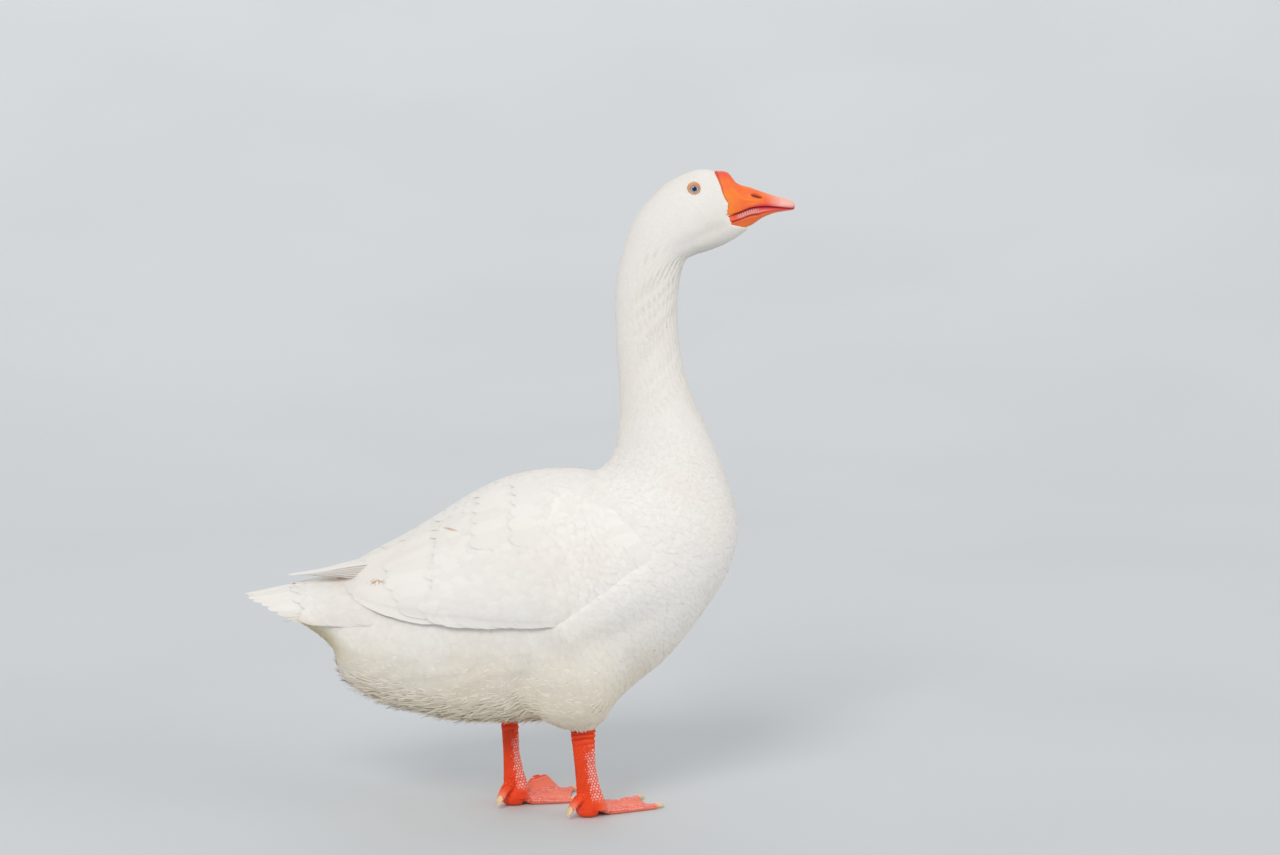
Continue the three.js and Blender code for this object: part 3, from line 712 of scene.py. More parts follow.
def swollen(points):
    """The body's points moved out along the normals, by steps, on to the soft union of the body
    and the two thighs."""
    along = np.gradient(points, axis=0)
    around = np.roll(points, -1, axis=1) - np.roll(points, 1, axis=1)
    normal = unit(np.cross(around, along) + 1e-12)
    normal = normal * np.sign(dot(normal, points - points.mean(axis=1, keepdims=True)))[..., None]
    near = (points[..., 0] > -60) & (points[..., 0] < 125) & (points[..., 2] < 262)
    near &= points[..., 2] > 90
    base, out = points[near], normal[near]
    for leg in LEGS.values():
        far = np.zeros(len(base))
        for _ in range(24):
            gap = soft_least(far, out_of_thigh(base + out * far[:, None], leg), 14)
            far = np.clip(far - 0.6 * gap, 0, 26)
        base = base + out * far[:, None]
    points = points.copy()
    points[near] = base
    return points


# In side view: the crease behind the right thigh, from its top down.
THIGH_CREASE = ((17, 198), (14, 175), (10.5, 148), (15, 123), (27, 112))
FOLD_LINE = ((55, 224), (166, 288))  # where the feathers of the flank lap over the wing
FOLD_RISE = (9.0, 6.5)  # at its lower end and at its upper one


def behind_thigh(x, y, z):
    """The crease behind each thigh, 1 in its bottom, steep in front and wide behind."""
    x = x + np.where(y > 0, LEGS["right"]["hip"][0] - LEGS["left"]["hip"][0], 0)
    line = np.array(THIGH_CREASE)
    distance = polyline_distance(x, z, THIGH_CREASE)
    line_x = np.interp(z, line[::-1, 1], line[::-1, 0])
    wide = np.where(x < line_x, 13.0, 5.0)
    return bell(distance / wide) * smooth(205, 165, z) * smooth(12, 40, abs(y))


def fold_distance(x, z):
    """How far in front of and below the fold line a place in side view is, and the share of the
    line's length at which it lies."""
    (x0, z0), (x1, z1) = FOLD_LINE
    dx, dz = x1 - x0, z1 - z0
    share = ((x - x0) * dx + (z - z0) * dz) / (dx * dx + dz * dz)
    sag = -26 * np.clip(share * (1 - share), -0.1, 1)
    return ((x - x0) * dz - (z - z0) * dx) / np.hypot(dx, dz) - sag, share


def fold_lip(points):
    """How far the flank's feathers rise to lap over the front of the wing."""
    x, y, z = np.moveaxis(points, -1, 0)
    fold, share = fold_distance(x, z)
    lip = smooth(44, 4, fold) * smooth(-26, -9, fold) * smooth(-0.2, 0.05, share) * smooth(1.15, 0.7, share)
    return mix(*FOLD_RISE, np.clip(share, 0, 1)) * lip * smooth(30, 55, abs(y))


@functools.lru_cache(maxsize=None)
def body_grid():
    """Rows, angles and points of the outer surface of the body's feathers."""
    row = np.linspace(0, CHIN, CHIN * SECTIONS_PER_ROW + 1)
    angle = round_turn(RING)
    rows, angles = grid_of(row, angle)
    plain = body_points(rows, angles)
    out = relief(plain, angles)
    return row, angle, swollen(body_points(rows, angles, out)), furrows(plain, angles)


@functools.lru_cache(maxsize=None)
def body_sheet():
    """The sheet that the body's feathers lie on. Row counts along it and the angle around it."""
    row, angle, points, groove = body_grid()
    middle = points.mean(axis=1, keepdims=True)
    return Sheet(points, row, angle, -1, lambda p: p - middle, wraps=True, mark=groove)


def coat_depth(row):
    """How deep the skin lies under the outer surface."""
    return np.interp(row, [0, 3, 14, 18, 22, 26, 30], [2.0, 2.3, 2.3, 1.9, 1.4, 0.8, 0.65])


# ---- Thighs ----

THIGH_TOP = 250
THIGH_FLOOR = 128  # below it the thigh stands clear of the body


def thigh_rows(leg):
    """Rows from the hip to the hock: x, y, z and the half lengths along X and Y."""
    (hip_x, hip_y), (hock_x, hock_y), side = leg["hip"], leg["hock"], leg["side"]
    return np.array([
        [hip_x - 1, hip_y - 8 * side, THIGH_TOP, 34, 22],
        [hip_x + 1, hip_y, 215, 50, 38],
        [hip_x + 1, hip_y, 180, 53, 42],
        [mix(hip_x, hock_x, 0.05), mix(hip_y, hock_y, 0.28), 150, 49.5, 38],
        [mix(hip_x, hock_x, 0.1) - 3, mix(hip_y, hock_y, 0.55), 130, 42.5, 32],
        [mix(hip_x, hock_x, 0.3) - 5, mix(hip_y, hock_y, 0.75), 119, 37.5, 26],
        [mix(hip_x, hock_x, 0.6) - 6, mix(hip_y, hock_y, 0.9), 111, 27.5, 19.5],
        [hock_x, hock_y, 103, leg["depth"] + 2.6, LEG_HALF_WIDTH + 2.6],
    ])


def thigh_sections(leg, z):
    """Middle x and y and the half lengths along X and Y of a thigh at heights, and the height of
    its lowest row."""
    rows = rows_at(thigh_rows(leg), np.linspace(0, 7, 60))[::-1]
    return [np.interp(z, rows[:, 2], rows[:, column]) for column in (0, 1, 3, 4)], rows[0, 2]


def thigh_points(leg, row, angle, grow=0.0):
    """Points of a thigh: level ellipses."""
    x, y, z, along, across = columns_at(thigh_rows(leg), row)
    along, across = np.maximum(along + grow, 1), np.maximum(across + grow, 1)
    return np.stack([x + along * np.cos(angle), y + across * np.sin(angle), z + 0 * angle], axis=-1)


def inside_thigh(points, leg, margin):
    """True where a point lies deeper than the margin in a thigh."""
    x, y, z = np.moveaxis(points, -1, 0)
    (mid_x, mid_y, along, across), lowest = thigh_sections(leg, z)
    reach = np.hypot((x - mid_x) / (along - margin), (y - mid_y) / (across - margin))
    return (reach < 1) & (z > lowest - 4) & (z < THIGH_TOP)


def inside_body(points, margin):
    """True where a point of the trunk lies deeper than the margin in the body. Its row is found
    from where the leaning sections pass the point's height."""
    rows = np.linspace(2, 15, 131)
    belly_x, belly_z, back_x, back_z, half_width, widest, _ = rows_at(BODY, rows).T
    x, y, z = (points[:, n, None] for n in range(3))
    section_x = belly_x + (z - belly_z) / (back_z - belly_z) * (back_x - belly_x)
    nearest = np.argmin(np.abs(section_x - x), axis=1)
    height = (back_z - belly_z)[nearest]
    up = (z[:, 0] - belly_z[nearest]) / height - widest[nearest]
    rise = up / np.where(up > 0, 1 - widest[nearest], widest[nearest])
    half = (half_width[nearest] - margin) * np.sqrt(np.clip(1 - rise ** 2, 0, 1))
    return (np.abs(y[:, 0]) < half) & (np.abs(rise) < 1 - margin / 140)


# ---- Wings ----

def wing_points(row, share, side):
    """Points of the folded wing's outer surface. Share goes from its lower to its upper edge, and
    the surface lies over the body by the wing's thickness, less towards the edges."""
    _, low_edge, from_middle, thickness = columns_at(WING, place_of(WING, row))
    low = angle_at_height(row, low_edge)
    half_width = rows_at(BODY, row)[..., 4]
    high = np.arccos(np.clip(from_middle / half_width, 0, 1))
    edge = np.clip(np.minimum(share / 0.12, (1 - share) / 0.12), 0, 1)
    points = body_points(row, mix(low, high, share), thickness * (0.68 + 0.32 * np.sqrt(edge)))
    return points * np.array([1, side, 1])


@functools.lru_cache(maxsize=None)
def wing_sheet(side):
    """The sheet that a wing's feathers lie on: u is the row of BODY and v the share across."""
    row = np.linspace(3.2, 14.6, 150)
    share = np.linspace(-0.08, 1.06, 90)
    rows, shares = grid_of(row, share)
    points = wing_points(rows, shares, side)
    return Sheet(points, row, share, -1, lambda p: p - np.array([-40, 0, 200]))


def under_wing(row, angle, margin):
    """True where a place on the body lies under a wing, further from its edges than the margin."""
    left = np.where(np.cos(angle) >= 0, angle, np.pi - angle)
    left = (left + np.pi) % (2 * np.pi) - np.pi
    _, low_edge, from_middle, _ = columns_at(WING, place_of(WING, row))
    half_width = rows_at(BODY, row)[..., 4]
    low = angle_at_height(row, low_edge) + margin / 110
    high = np.arccos(np.clip(from_middle / half_width, 0, 1)) - margin / half_width
    return (left > low) & (left < high) & (row > 4.4) & (row < 12.2)


# ---- Materials ----

# In metres: how high the grain of skin and horn, and the barbs of a vane, seem to stand.
GRAIN_HEIGHT = 0.4 * MM
BARB_HEIGHT = 0.3 * MM
SHEEN = {"Sheen Weight": 0.1, "Sheen Roughness": 0.4}

# Spots of the plumage: middle and half lengths, and the turn about Y in degrees. The first two place painted
# shade under the tail and low between the legs; the others place stains on the wing.
TAIL_PAINTED_SHADE = ((-222, 0, 205), (80, 125, 30), 20)
LEG_PAINTED_SHADE = ((-20, 0, 100), (75, 80, 42), 0)
WING_SPECKS = ((-154, -78, 277), (15, 30, 4.5), -6)
WING_DASH = ((-72, -72, 335), (13, 40, 1.6), 3)
WING_EDGE = ((-205, -38, 274), (44, 34, 5), -4)


def linear(code):
    """A colour written as six hex digits, in linear light with alpha 1."""
    parts = np.array([int(code[n:n + 2], 16) / 255 for n in (0, 2, 4)])
    parts = np.where(parts < 0.04045, parts / 12.92, ((parts + 0.055) / 1.055) ** 2.4)
    return (*parts.tolist(), 1.0)


class Nodes:
    """Adds nodes to a tree. An input that is a socket is linked, any other is set."""

    def __init__(self, tree):
        self.tree = tree

    def add(self, kind, inputs=(), **settings):
        """A node of a kind, with its inputs by name or number."""
        node = self.tree.nodes.new(kind)
        for key, value in settings.items():
            setattr(node, key, value)
        self.fill(node, dict(inputs))
        return node

    def fill(self, node, inputs):
        """Links or sets the inputs of a node."""
        for key, value in inputs.items():
            if isinstance(value, bpy.types.NodeSocket):
                self.tree.links.new(value, node.inputs[key])
            else:
                node.inputs[key].default_value = value

    def math(self, operation, a, b=0.0):
        """A sum, product or function of one or two numbers."""
        return self.add("ShaderNodeMath", {0: a, 1: b}, operation=operation).outputs[0]

    def times(self, a, b):
        """The product of two numbers."""
        return self.math("MULTIPLY", a, b)

    def ramp(self, value, low, high, to_low=0.0, to_high=1.0):
        """A smooth step from to_low, where the value is low, to to_high, where it is high."""
        inputs = {"Value": value, "From Min": low, "From Max": high, "To Min": to_low, "To Max": to_high}
        return self.add("ShaderNodeMapRange", inputs, interpolation_type="SMOOTHSTEP").outputs["Result"]

    def blend(self, factor, a, b, blend_type="MIX"):
        """Colour a with colour b mixed in by the factor."""
        node = self.add("ShaderNodeMix", data_type="RGBA", blend_type=blend_type)
        self.fill(node, {0: factor, 6: a, 7: b})
        return node.outputs[2]

    def noise(self, place, scale, detail=2.0, roughness=0.5):
        """Fractal noise."""
        inputs = {"Vector": place, "Scale": scale, "Detail": detail, "Roughness": roughness}
        return self.add("ShaderNodeTexNoise", inputs).outputs["Fac"]

    def place(self):
        """The place on the object."""
        return self.add("ShaderNodeTexCoord").outputs["Object"]

    def mark(self, name):
        """A number attribute of the mesh."""
        return self.add("ShaderNodeAttribute", attribute_name=name).outputs["Fac"]

    def spot(self, place, centre, size, turn):
        """1 in the middle of an ellipsoid and 0 outside it. Centre and size are in millimetres of
        the tables, and it is turned about Y by degrees."""
        moved = self.add("ShaderNodeMapping", {
            "Vector": place,
            "Location": Vector(((centre[0] + SHIFT) * MM, centre[1] * MM, centre[2] * MM)),
            "Rotation": Vector((0, np.radians(turn), 0)),
            "Scale": Vector(size) * MM,
        }, vector_type="TEXTURE").outputs["Vector"]
        length = self.add("ShaderNodeVectorMath", {0: moved}, operation="LENGTH").outputs["Value"]
        return self.ramp(length, 1.0, 0.3)

    def bump(self, surface, height, strength, distance):
        """Turns the surface's normals by a height."""
        node = self.add("ShaderNodeBump", {"Strength": strength, "Distance": distance, "Height": height})
        self.tree.links.new(node.outputs[0], surface["Normal"])


def group_tree(name, inputs, outputs):
    """An empty shader node group with sockets [(name, type, default)], its inputs and outputs."""
    tree = bpy.data.node_groups.new(name, "ShaderNodeTree")
    for in_out, sockets in (("INPUT", inputs), ("OUTPUT", outputs)):
        for socket_name, kind, default in sockets:
            socket = tree.interface.new_socket(socket_name, in_out=in_out, socket_type="NodeSocket" + kind)
            if default is not None:
                socket.default_value = default
    n = Nodes(tree)
    return tree, n, n.add("NodeGroupInput").outputs, n.add("NodeGroupOutput").inputs


def new_material(name, **surface):
    """A material with a Principled shader whose constants are set on its own sockets."""
    material = bpy.data.materials.new(name)
    material.use_nodes = True
    material.node_tree.nodes.clear()
    n = Nodes(material.node_tree)
    shader = n.add("ShaderNodeBsdfPrincipled", surface)
    n.add("ShaderNodeOutputMaterial", {"Surface": shader.outputs[0]})
    return material, n, shader.inputs


def plumage_group(colours):
    """Colour of the plumage by place: white above; warmer and greyer low on the belly, partly its own
    creamy soiling and partly painted shade; painted shade under the tail, low between the legs and in
    the neck's furrows; soft clouds of ivory; and a few small stains on the wing."""
    tree, n, given, out = group_tree(
        "Plumage markings",
        [("Furrow", "Float", 0.0), ("Tone", "Float", 0.5)],
        [("Color", "Color", None)])
    place = n.place()
    height = n.add("ShaderNodeSeparateXYZ", {0: place}).outputs["Z"]
    clouds = n.ramp(n.noise(place, 11.0, 3.0), 0.4, 0.72, 0.0, 0.45)
    colour = n.blend(clouds, tuple(colours.white), tuple(colours.ivory))
    # Lower down the white turns to the belly colour: partly the belly's own creamy soiling, partly painted
    # shade.
    low = n.math("ADD", height, n.times(n.noise(place, 16.0, 3.0), 0.09))
    low = n.ramp(low, 0.30, 0.16, 0.0, 0.85)
    colour = n.blend(low, colour, tuple(colours.belly))
    # Painted shade under the tail and low between the legs.
    for spot, share in ((TAIL_PAINTED_SHADE, 0.9), (LEG_PAINTED_SHADE, 0.5)):
        colour = n.blend(n.times(n.spot(place, *spot), share), colour, tuple(colours.shade))
    # Painted shade in the grooves of the neck's furrows.
    colour = n.blend(n.times(given["Furrow"], 0.55), colour, tuple(colours.furrow))
    crumbs = n.ramp(n.noise(place, 260.0, 1.0), 0.5, 0.6)
    specks = n.times(n.spot(place, *WING_SPECKS), crumbs)
    edge = n.times(n.spot(place, *WING_EDGE), n.ramp(n.noise(place, 60.0, 2.0), 0.35, 0.6))
    stains = n.math("MAXIMUM", specks, n.times(n.spot(place, *WING_DASH), 0.8))
    stains = n.math("MAXIMUM", stains, n.times(edge, 0.6))
    colour = n.blend(n.times(stains, 0.7), colour, tuple(colours.stain))
    tone = n.ramp(given["Tone"], 0.0, 1.0, 0.955, 1.0)
    colour = n.blend(1.0, colour, n.add("ShaderNodeCombineColor", {0: tone, 1: tone, 2: tone}).outputs[0],
                     "MULTIPLY")
    n.tree.links.new(colour, out["Color"])
    return tree


def add_group(n, tree, inputs):
    """A node group placed in a material. Its inputs are there once it has its tree."""
    node = n.add("ShaderNodeGroup", node_tree=tree)
    n.fill(node, inputs)
    return node.outputs


def plumage_material(name, tree, tone=None, **constants):
    """A material in the colours of the plumage. Tone is one number for the whole piece, or else
    each feather has its own."""
    material, n, surface = new_material(name, **constants)
    tone = n.mark("tone") if tone is None else tone
    colour = add_group(n, tree, {"Furrow": n.mark("furrow"), "Tone": tone})["Color"]
    n.tree.links.new(colour, surface["Base Color"])
    return material, n, surface


def skin_material(tree):
    """The skin between the feathers, with a fine grain."""
    material, n, surface = plumage_material("goose_skin", tree, 0.5, Roughness=0.8)
    n.bump(surface, n.noise(n.place(), 700.0, 2.0), 0.3, GRAIN_HEIGHT)
    return material


def down_material(tree):
    """Soft tufts."""
    return plumage_material("goose_down", tree, **SHEEN,
                            **{"Roughness": 0.78, "Specular IOR Level": 0.25})[0]


def feather_material(tree):
    """Vanes with fine slanting barbs: a sine of the place along the vane, less half the distance
    from its shaft."""
    material, n, surface = plumage_material("goose_feather", tree, **SHEEN,
                                            **{"Roughness": 0.66, "Specular IOR Level": 0.3})
    vane_map = n.add("ShaderNodeUVMap", uv_map="Vane").outputs[0]
    across, along, _ = n.add("ShaderNodeSeparateXYZ", {0: vane_map}).outputs
    from_shaft = n.math("ABSOLUTE", n.math("SUBTRACT", across, 0.5))
    slant = n.math("SUBTRACT", along, n.times(from_shaft, 0.5))
    n.bump(surface, n.math("SINE", n.times(slant, 420.0)), 0.25, BARB_HEIGHT)
    return material


def horn_group():
    """Fine clouds and grain of horn and bare skin, for the bill, the lids, the legs and claws."""
    tree, n, given, out = group_tree(
        "Horn grain",
        [("Color", "Color", (1, 1, 1, 1)), ("Second", "Color", (1, 1, 1, 1)), ("Scale", "Float", 100.0),
         ("Amount", "Float", 0.5)],
        [("Color", "Color", None), ("Height", "Float", None)])
    place = n.place()
    cloud = n.noise(place, given["Scale"], 4.0, 0.6)
    factor = n.times(n.ramp(cloud, 0.35, 0.7), given["Amount"])
    n.tree.links.new(n.blend(factor, given["Color"], given["Second"]), out["Color"])
    fine = n.noise(place, n.times(given["Scale"], 7.0), 2.0)
    n.tree.links.new(fine, out["Height"])
    return tree


def bill_material(name, colours, tree, pale):
    """Orange horn with its marks: yellow at the base, red along the mouth, painted shade in the nostril,
    the cracks, the mouth's seam and the gaps of the comb and along the feather edge, and pale towards
    the nail."""
    material, n, surface = new_material(name, **{
        "Roughness": 0.42, "Specular IOR Level": 0.4, "Subsurface Weight": 0.08,
        "Subsurface Scale": 0.003, "Subsurface Radius": (1.0, 0.35, 0.2)})
    grain = add_group(n, tree, {"Color": tuple(colours.bill), "Second": tuple(colours.bill_deep),
                                "Scale": 90.0, "Amount": 0.55})
    colour = grain["Color"]
    for share, mark_colour in ((n.mark("yellow"), colours.bill_yellow),
                               (n.mark("red"), colours.bill_red),
                               (n.times(n.mark("pale"), pale), colours.nail),
                               (n.mark("comb"), colours.comb),
                               (n.mark("dark"), colours.bill_painted_shade)):
        colour = n.blend(share, colour, tuple(mark_colour))
    n.tree.links.new(colour, surface["Base Color"])
    n.bump(surface, grain["Height"], 0.35, GRAIN_HEIGHT)
    return material


def horn_material(name, first, second, tree, roughness, scale, amount, strength, marks=()):
    """Horn or bare skin in two colours, with clouds of a scale and an amount, a bump of a strength,
    and marks, each a name, a share and a colour."""
    material, n, surface = new_material(name, **{"Roughness": roughness, "Specular IOR Level": 0.25})
    grain = add_group(n, tree, {"Color": tuple(first), "Second": tuple(second), "Scale": scale,
                                "Amount": amount})
    colour = grain["Color"]
    for mark, share, mark_colour in marks:
        colour = n.blend(n.times(n.mark(mark), share), colour, tuple(mark_colour))
    n.tree.links.new(colour, surface["Base Color"])
    n.bump(surface, grain["Height"], strength, GRAIN_HEIGHT)
    return material


def eye_material(colours):
    """A wet eye, coloured by the angle from its axis: pupil, iris with fine rays, dark rim, and the
    bare skin under the lids."""
    material, n, surface = new_material("goose_eye", **{"Roughness": 0.08, "Specular IOR Level": 0.3,
                                                        "Coat Weight": 0.5, "Coat Roughness": 0.02})
    polar = n.mark("polar")
    rays = n.ramp(n.noise(n.place(), 900.0, 2.0), 0.3, 0.7)
    iris = n.blend(rays, tuple(colours.iris), tuple(colours.iris_pale))
    iris = n.blend(n.ramp(polar, 0.5, 0.6), iris, tuple(colours.pupil))
    iris = n.blend(n.ramp(polar, 0.66, 0.7), iris, tuple(colours.lid))
    colour = n.blend(n.ramp(polar, 0.34, 0.29), iris, tuple(colours.pupil))
    n.tree.links.new(colour, surface["Base Color"])
    return material


@functools.lru_cache(maxsize=None)
def materials():
    """All materials by name, made once."""
    colours = bpy.context.scene.goose_colours
    tree = horn_group()
    plumage = plumage_group(colours)
    made = {"skin": skin_material(plumage), "tuft": down_material(plumage),
            "feather": feather_material(plumage)}
    made["bill"] = bill_material("goose_bill", colours, tree, 0.75)
    made["nail"] = bill_material("goose_nail", colours, tree, 1.0)
    made["lid"] = horn_material(
        "goose_lid", colours.lid, colours.lid_pale, tree, 0.45, 300.0, 0.6, 0.4,
        [("under", 0.75, colours.lid_under), ("inner", 0.85, colours.lid_inner)])
    # On the legs the gap mark is painted shade and the pale mark is painted highlight.
    made["leg"] = horn_material(
        "goose_leg", colours.leg, colours.leg_deep, tree, 0.55, 60.0, 0.6, 0.3,
        [("web", 0.85, colours.web), ("gap", 0.8, colours.leg_painted_shade), ("pale", 0.85, colours.leg_painted_highlight)])
    made["claw"] = horn_material(
        "goose_claw", colours.claw, colours.claw_dark, tree, 0.35, 140.0, 0.5, 0.2)
    made["eye"] = eye_material(colours)
    return made


# ---- Skin ----

def build_skin():
    """The skin: the body shrunk by the coat's depth, more so in front of the feather edge of the
    face, with a pad under each wing, joined to both thighs."""
    row, angle, points, groove = body_grid()
    rows, angles = grid_of(row, angle)
    plain = body_points(rows, angles)
    x, z = plain[..., 0], plain[..., 2]
    share = 3.2 * smooth(0.0, 3.0, ahead_of_face(x, z)) * smooth(26.5, 27.5, rows)
    pad = 6.0 * under_wing(rows, angles, 8)
    for _ in range(6):
        pad = (np.roll(pad, 1, 1) + np.roll(pad, -1, 1) + pad) / 3
        pad[1:-1] = (pad[:-2] + pad[1:-1] + pad[2:]) / 3
    pad = pad * (1 - np.clip(fold_lip(plain) / FOLD_RISE[1], 0, 1))
    deep = np.minimum(coat_depth(rows) + share - pad, 0.45 * rows_at(BODY, rows)[..., 4])
    out = relief(plain, angles)
    swelling = points - body_points(rows, angles, out)
    skin = body_points(rows, angles, out - deep) + swelling
    whole = skin[::2, ::2]
    # The furrow mark places the painted shade in the grooves of the neck.
    body = build_mesh("goose_skin", *tube(whole), marks={
        "furrow": np.concatenate([groove[::2, ::2].ravel(), [0, 0]])})
    cutters = []
    for side, leg in LEGS.items():
        rows, angles = grid_of(np.linspace(0, 7, 40), round_turn(64))
        thigh = build_mesh("thigh_" + side, *tube(thigh_points(leg, rows, angles, -3.0)))
        holder = bpy.data.objects.new("thigh_" + side, thigh)
        bpy.context.scene.collection.objects.link(holder)
        cutters.append(holder)
    union = [("BOOLEAN", dict(operation="UNION", solver="EXACT", object=c)) for c in cutters]
    made = with_modifiers(body, *union)
    for cutter in cutters:
        bpy.data.objects.remove(cutter)
    made.name = "goose_skin"
    made.shade_smooth()
    return made


# ---- Coat of the body ----

# Sizes of the body's feathers at rows of BODY.
ROWS = [0, 2, 4, 8, 12, 14, 16, 18, 20, 22, 24, 26, 28, 30]
SPACING = [3.4, 4.2, 5.0, 5.4, 5.2, 4.8, 4.0, 3.1, 2.5, 2.1, 1.75, 1.35, 1.1, 0.95]
LENGTH = [18, 32, 34, 34, 32, 28, 22, 16, 12, 9.5, 7.4, 5.4, 4.0, 3.2]
HALF_WIDTH = [5, 6.4, 8.0, 8.6, 8.0, 7.0, 5.2, 3.5, 2.5, 1.9, 1.45, 1.0, 0.8, 0.66]
ROOT_DEPTH = [1.6, 1.9, 2.0, 2.0, 1.9, 1.8, 1.6, 1.35, 1.2, 1.0, 0.8, 0.65, 0.55, 0.5]
TIP_DEPTH = [0.25, 0.2, 0.14, 0.12, 0.12, 0.12, 0.12, 0.12, 0.1, 0.1, 0.1, 0.08, 0.06, 0.06]
CUP = [0.2, 0.12, 0.07, 0.05, 0.05, 0.06, 0.09, 0.14, 0.18, 0.2, 0.22, 0.24, 0.26, 0.26]


def by_row(table, row):
    """A size of the body's feathers at a row of the body."""
    return np.interp(row, ROWS, table)


# Kinds of feather, from the fine tufts of the head to the broad ones of the body.
FINE = Vane([0.35, 0.75], [0.9, 0.85], [-1, 0, 1])
SOFT = Vane([0.25, 0.6, 0.88], [0.8, 1.0, 0.7], [-1, 0, 1])
BROAD = Vane([0.2, 0.5, 0.78, 0.94], [0.75, 1.0, 0.9, 0.52], [-1, -0.5, 0, 0.5, 1], [0], 0.35)

# Pieces of the body's coat: name, kind of feather, how many stand side by side, first and last row
# of BODY, and fluff.
COAT_PIECES = (
    ("coat_face", FINE, 158, 27.6, 29.9, 0.0),
    ("coat_head", FINE, 146, 25.4, 27.6, 0.0),
    ("coat_neck_upper", SOFT, 118, 22.0, 25.4, 0.0),
    ("coat_neck_lower", SOFT, 106, 17.4, 22.0, 0.0),
    ("coat_breast", BROAD, 112, 13.2, 17.4, 0.0),
    ("coat_shoulders", BROAD, 122, 10.0, 13.2, 0.02),
    ("coat_flanks", BROAD, 126, 5.8, 10.0, 0.12),
    ("coat_vent", BROAD, 100, 1.3, 5.8, 0.4),
)


def body_feathers(vane, count, u_low, u_high, rng, keep, fluff=0.0):
    """Feathers of the body between two rows, graded in size, lying back along the body and down
    its sides. Keep says which roots stay. Fluff lets them stand out and turn more."""
    sheet = body_sheet()
    u, v = sheet.scatter(lambda row: by_row(SPACING, row), count, rng, u_low, u_high)
    places = sheet.at(u, v)[0]
    chosen = keep(places, u, v)
    u, v, places = u[chosen], v[chosen], places[chosen]
    n = len(u)
    length = by_row(LENGTH, u) * rng.uniform(0.86, 1.14, n)
    wide = by_row(HALF_WIDTH, u) * rng.uniform(0.9, 1.1, n)
    side = np.sign(places[:, 1])
    z = places[:, 2]
    phi = from_throat(v)
    droop = 0.16 * smooth(0.3, 1.5, phi) * smooth(2.9, 1.9, phi) * (u < 19)
    jaw = 0.5 * smooth(600, 640, z) * smooth(668, 640, z) * smooth(2.3, 1.2, phi)
    hip_x = np.where(side < 0, LEGS["right"]["hip"][0], LEGS["left"]["hip"][0])
    thigh = bell((places[:, 0] - hip_x) / 44) * smooth(200, 135, z) * (u < 17)
    turn = -side * (droop + 0.95 * thigh - jaw) + rng.normal(0, 0.05 + 0.16 * fluff, n)
    return lay(sheet, vane, u, v, length, wide, turn=turn,
               root_depth=by_row(ROOT_DEPTH, u) * rng.uniform(0.9, 1.1, n),
               tip_depth=by_row(TIP_DEPTH, u) * rng.uniform(0.2, 1.8, n),
               cup=by_row(CUP, u), lift=rng.uniform(0, 1, n) ** 3 * fluff * 2.4,
               roll=rng.normal(0, 0.012 + 0.05 * fluff, n), fray=0.05 + 0.3 * fluff,
               bend=rng.normal(0, 0.06 + 0.2 * fluff, n), rng=rng)


def clear_of_face(places, u):
    """True for roots behind the feather edge whose tufts don't reach into the eye, by the distance
    of its middle from the line of the tuft."""
    x, y, z = places.T
    behind = ahead_of_face(x, z) < -0.1
    reach = by_row(LENGTH, u)
    eye_x, eye_z = EYE_SIDE_VIEW
    distance, _ = segment_distance(eye_x, EYE_OVAL * eye_z, (x, EYE_OVAL * z),
                                   (x - reach, EYE_OVAL * (z - 0.15 * reach)))
    return behind & ((distance > EYE_CLEAR) | (abs(y) < 10))


def open_ground(places, u, v):
    """True for roots on the body that no wing and no thigh covers."""
    covered = under_wing(u, v, 13) & (fold_distance(places[:, 0], places[:, 2])[0] < -12)
    for leg in LEGS.values():
        covered |= inside_thigh(places, leg, 5) & (places[:, 2] < THIGH_FLOOR - 2)
    return ~covered & (clear_of_face(places, u) | (u < 20))


def add_belly_down(seed):
    """Loose strands of down along the belly and round the vent. Their tips stand out in locks where
    the belly faces down."""
    rng = np.random.default_rng(seed)
    sheet = body_sheet()
    u, v = sheet.scatter(lambda row: np.interp(row, [2, 4, 10, 12], [3.4, 3.2, 4.2, 6]), 96, rng, 2.4, 11.5)
    places, normal, _, _, _ = sheet.at(u, v)
    keep = open_ground(places, u, v) & (places[:, 2] < rng.uniform(120, 205, len(u)))
    u, v, places, normal = u[keep], v[keep], places[keep], normal[keep]
    n = len(u)
    x, y, z = places.T
    side = np.sign(y)
    lock = (0.5 + 0.5 * np.sin(x / 3.3 + 2.4 * np.sin(y / 7) + 1.6 * np.sin(z / 6))) ** 1.5
    stand = np.interp(u, [2, 4, 6, 8.5, 11.5], [5, 11.5, 12, 8, 3]) * smooth(182, 140, z)
    stand = stand * bpy.context.scene.goose_sizes.fluff * smooth(0.92, 0.6, abs(normal[:, 1]))
    feathers = lay(sheet, SOFT, u, v, rng.uniform(18, 36, n), rng.uniform(0.9, 2.0, n),
                   turn=-side * 0.15 + rng.normal(0, 0.2, n), root_depth=1.2, tip_depth=0.1,
                   cup=0.15, lift=rng.uniform(0.3, 1, n) * lock * stand,
                   roll=0.0, fray=0.3, bend=rng.normal(0, 0.25, n), relief=0.2, rng=rng)
    feathers["normals"] = unit(feathers["normals"] + np.array([0, 0, 0.4]))
    add_coat("coat_belly_down", [feathers], (2, 12), (0, 2 * np.pi), materials()["tuft"], "plumage")


def add_body_coat(seed):
    """The coat of the body as pieces from the face to the vent."""
    look = materials()["tuft"]
    for n, (name, vane, count, low, high, fluff) in enumerate(COAT_PIECES):
        rng = np.random.default_rng(seed + n)
        feathers = body_feathers(vane, count, low, high, rng, open_ground, fluff)
        add_coat(name, [feathers], (low, high), (0, 2 * np.pi), look, "plumage")
    add_belly_down(seed + 20)


# ---- Thigh feathers ----

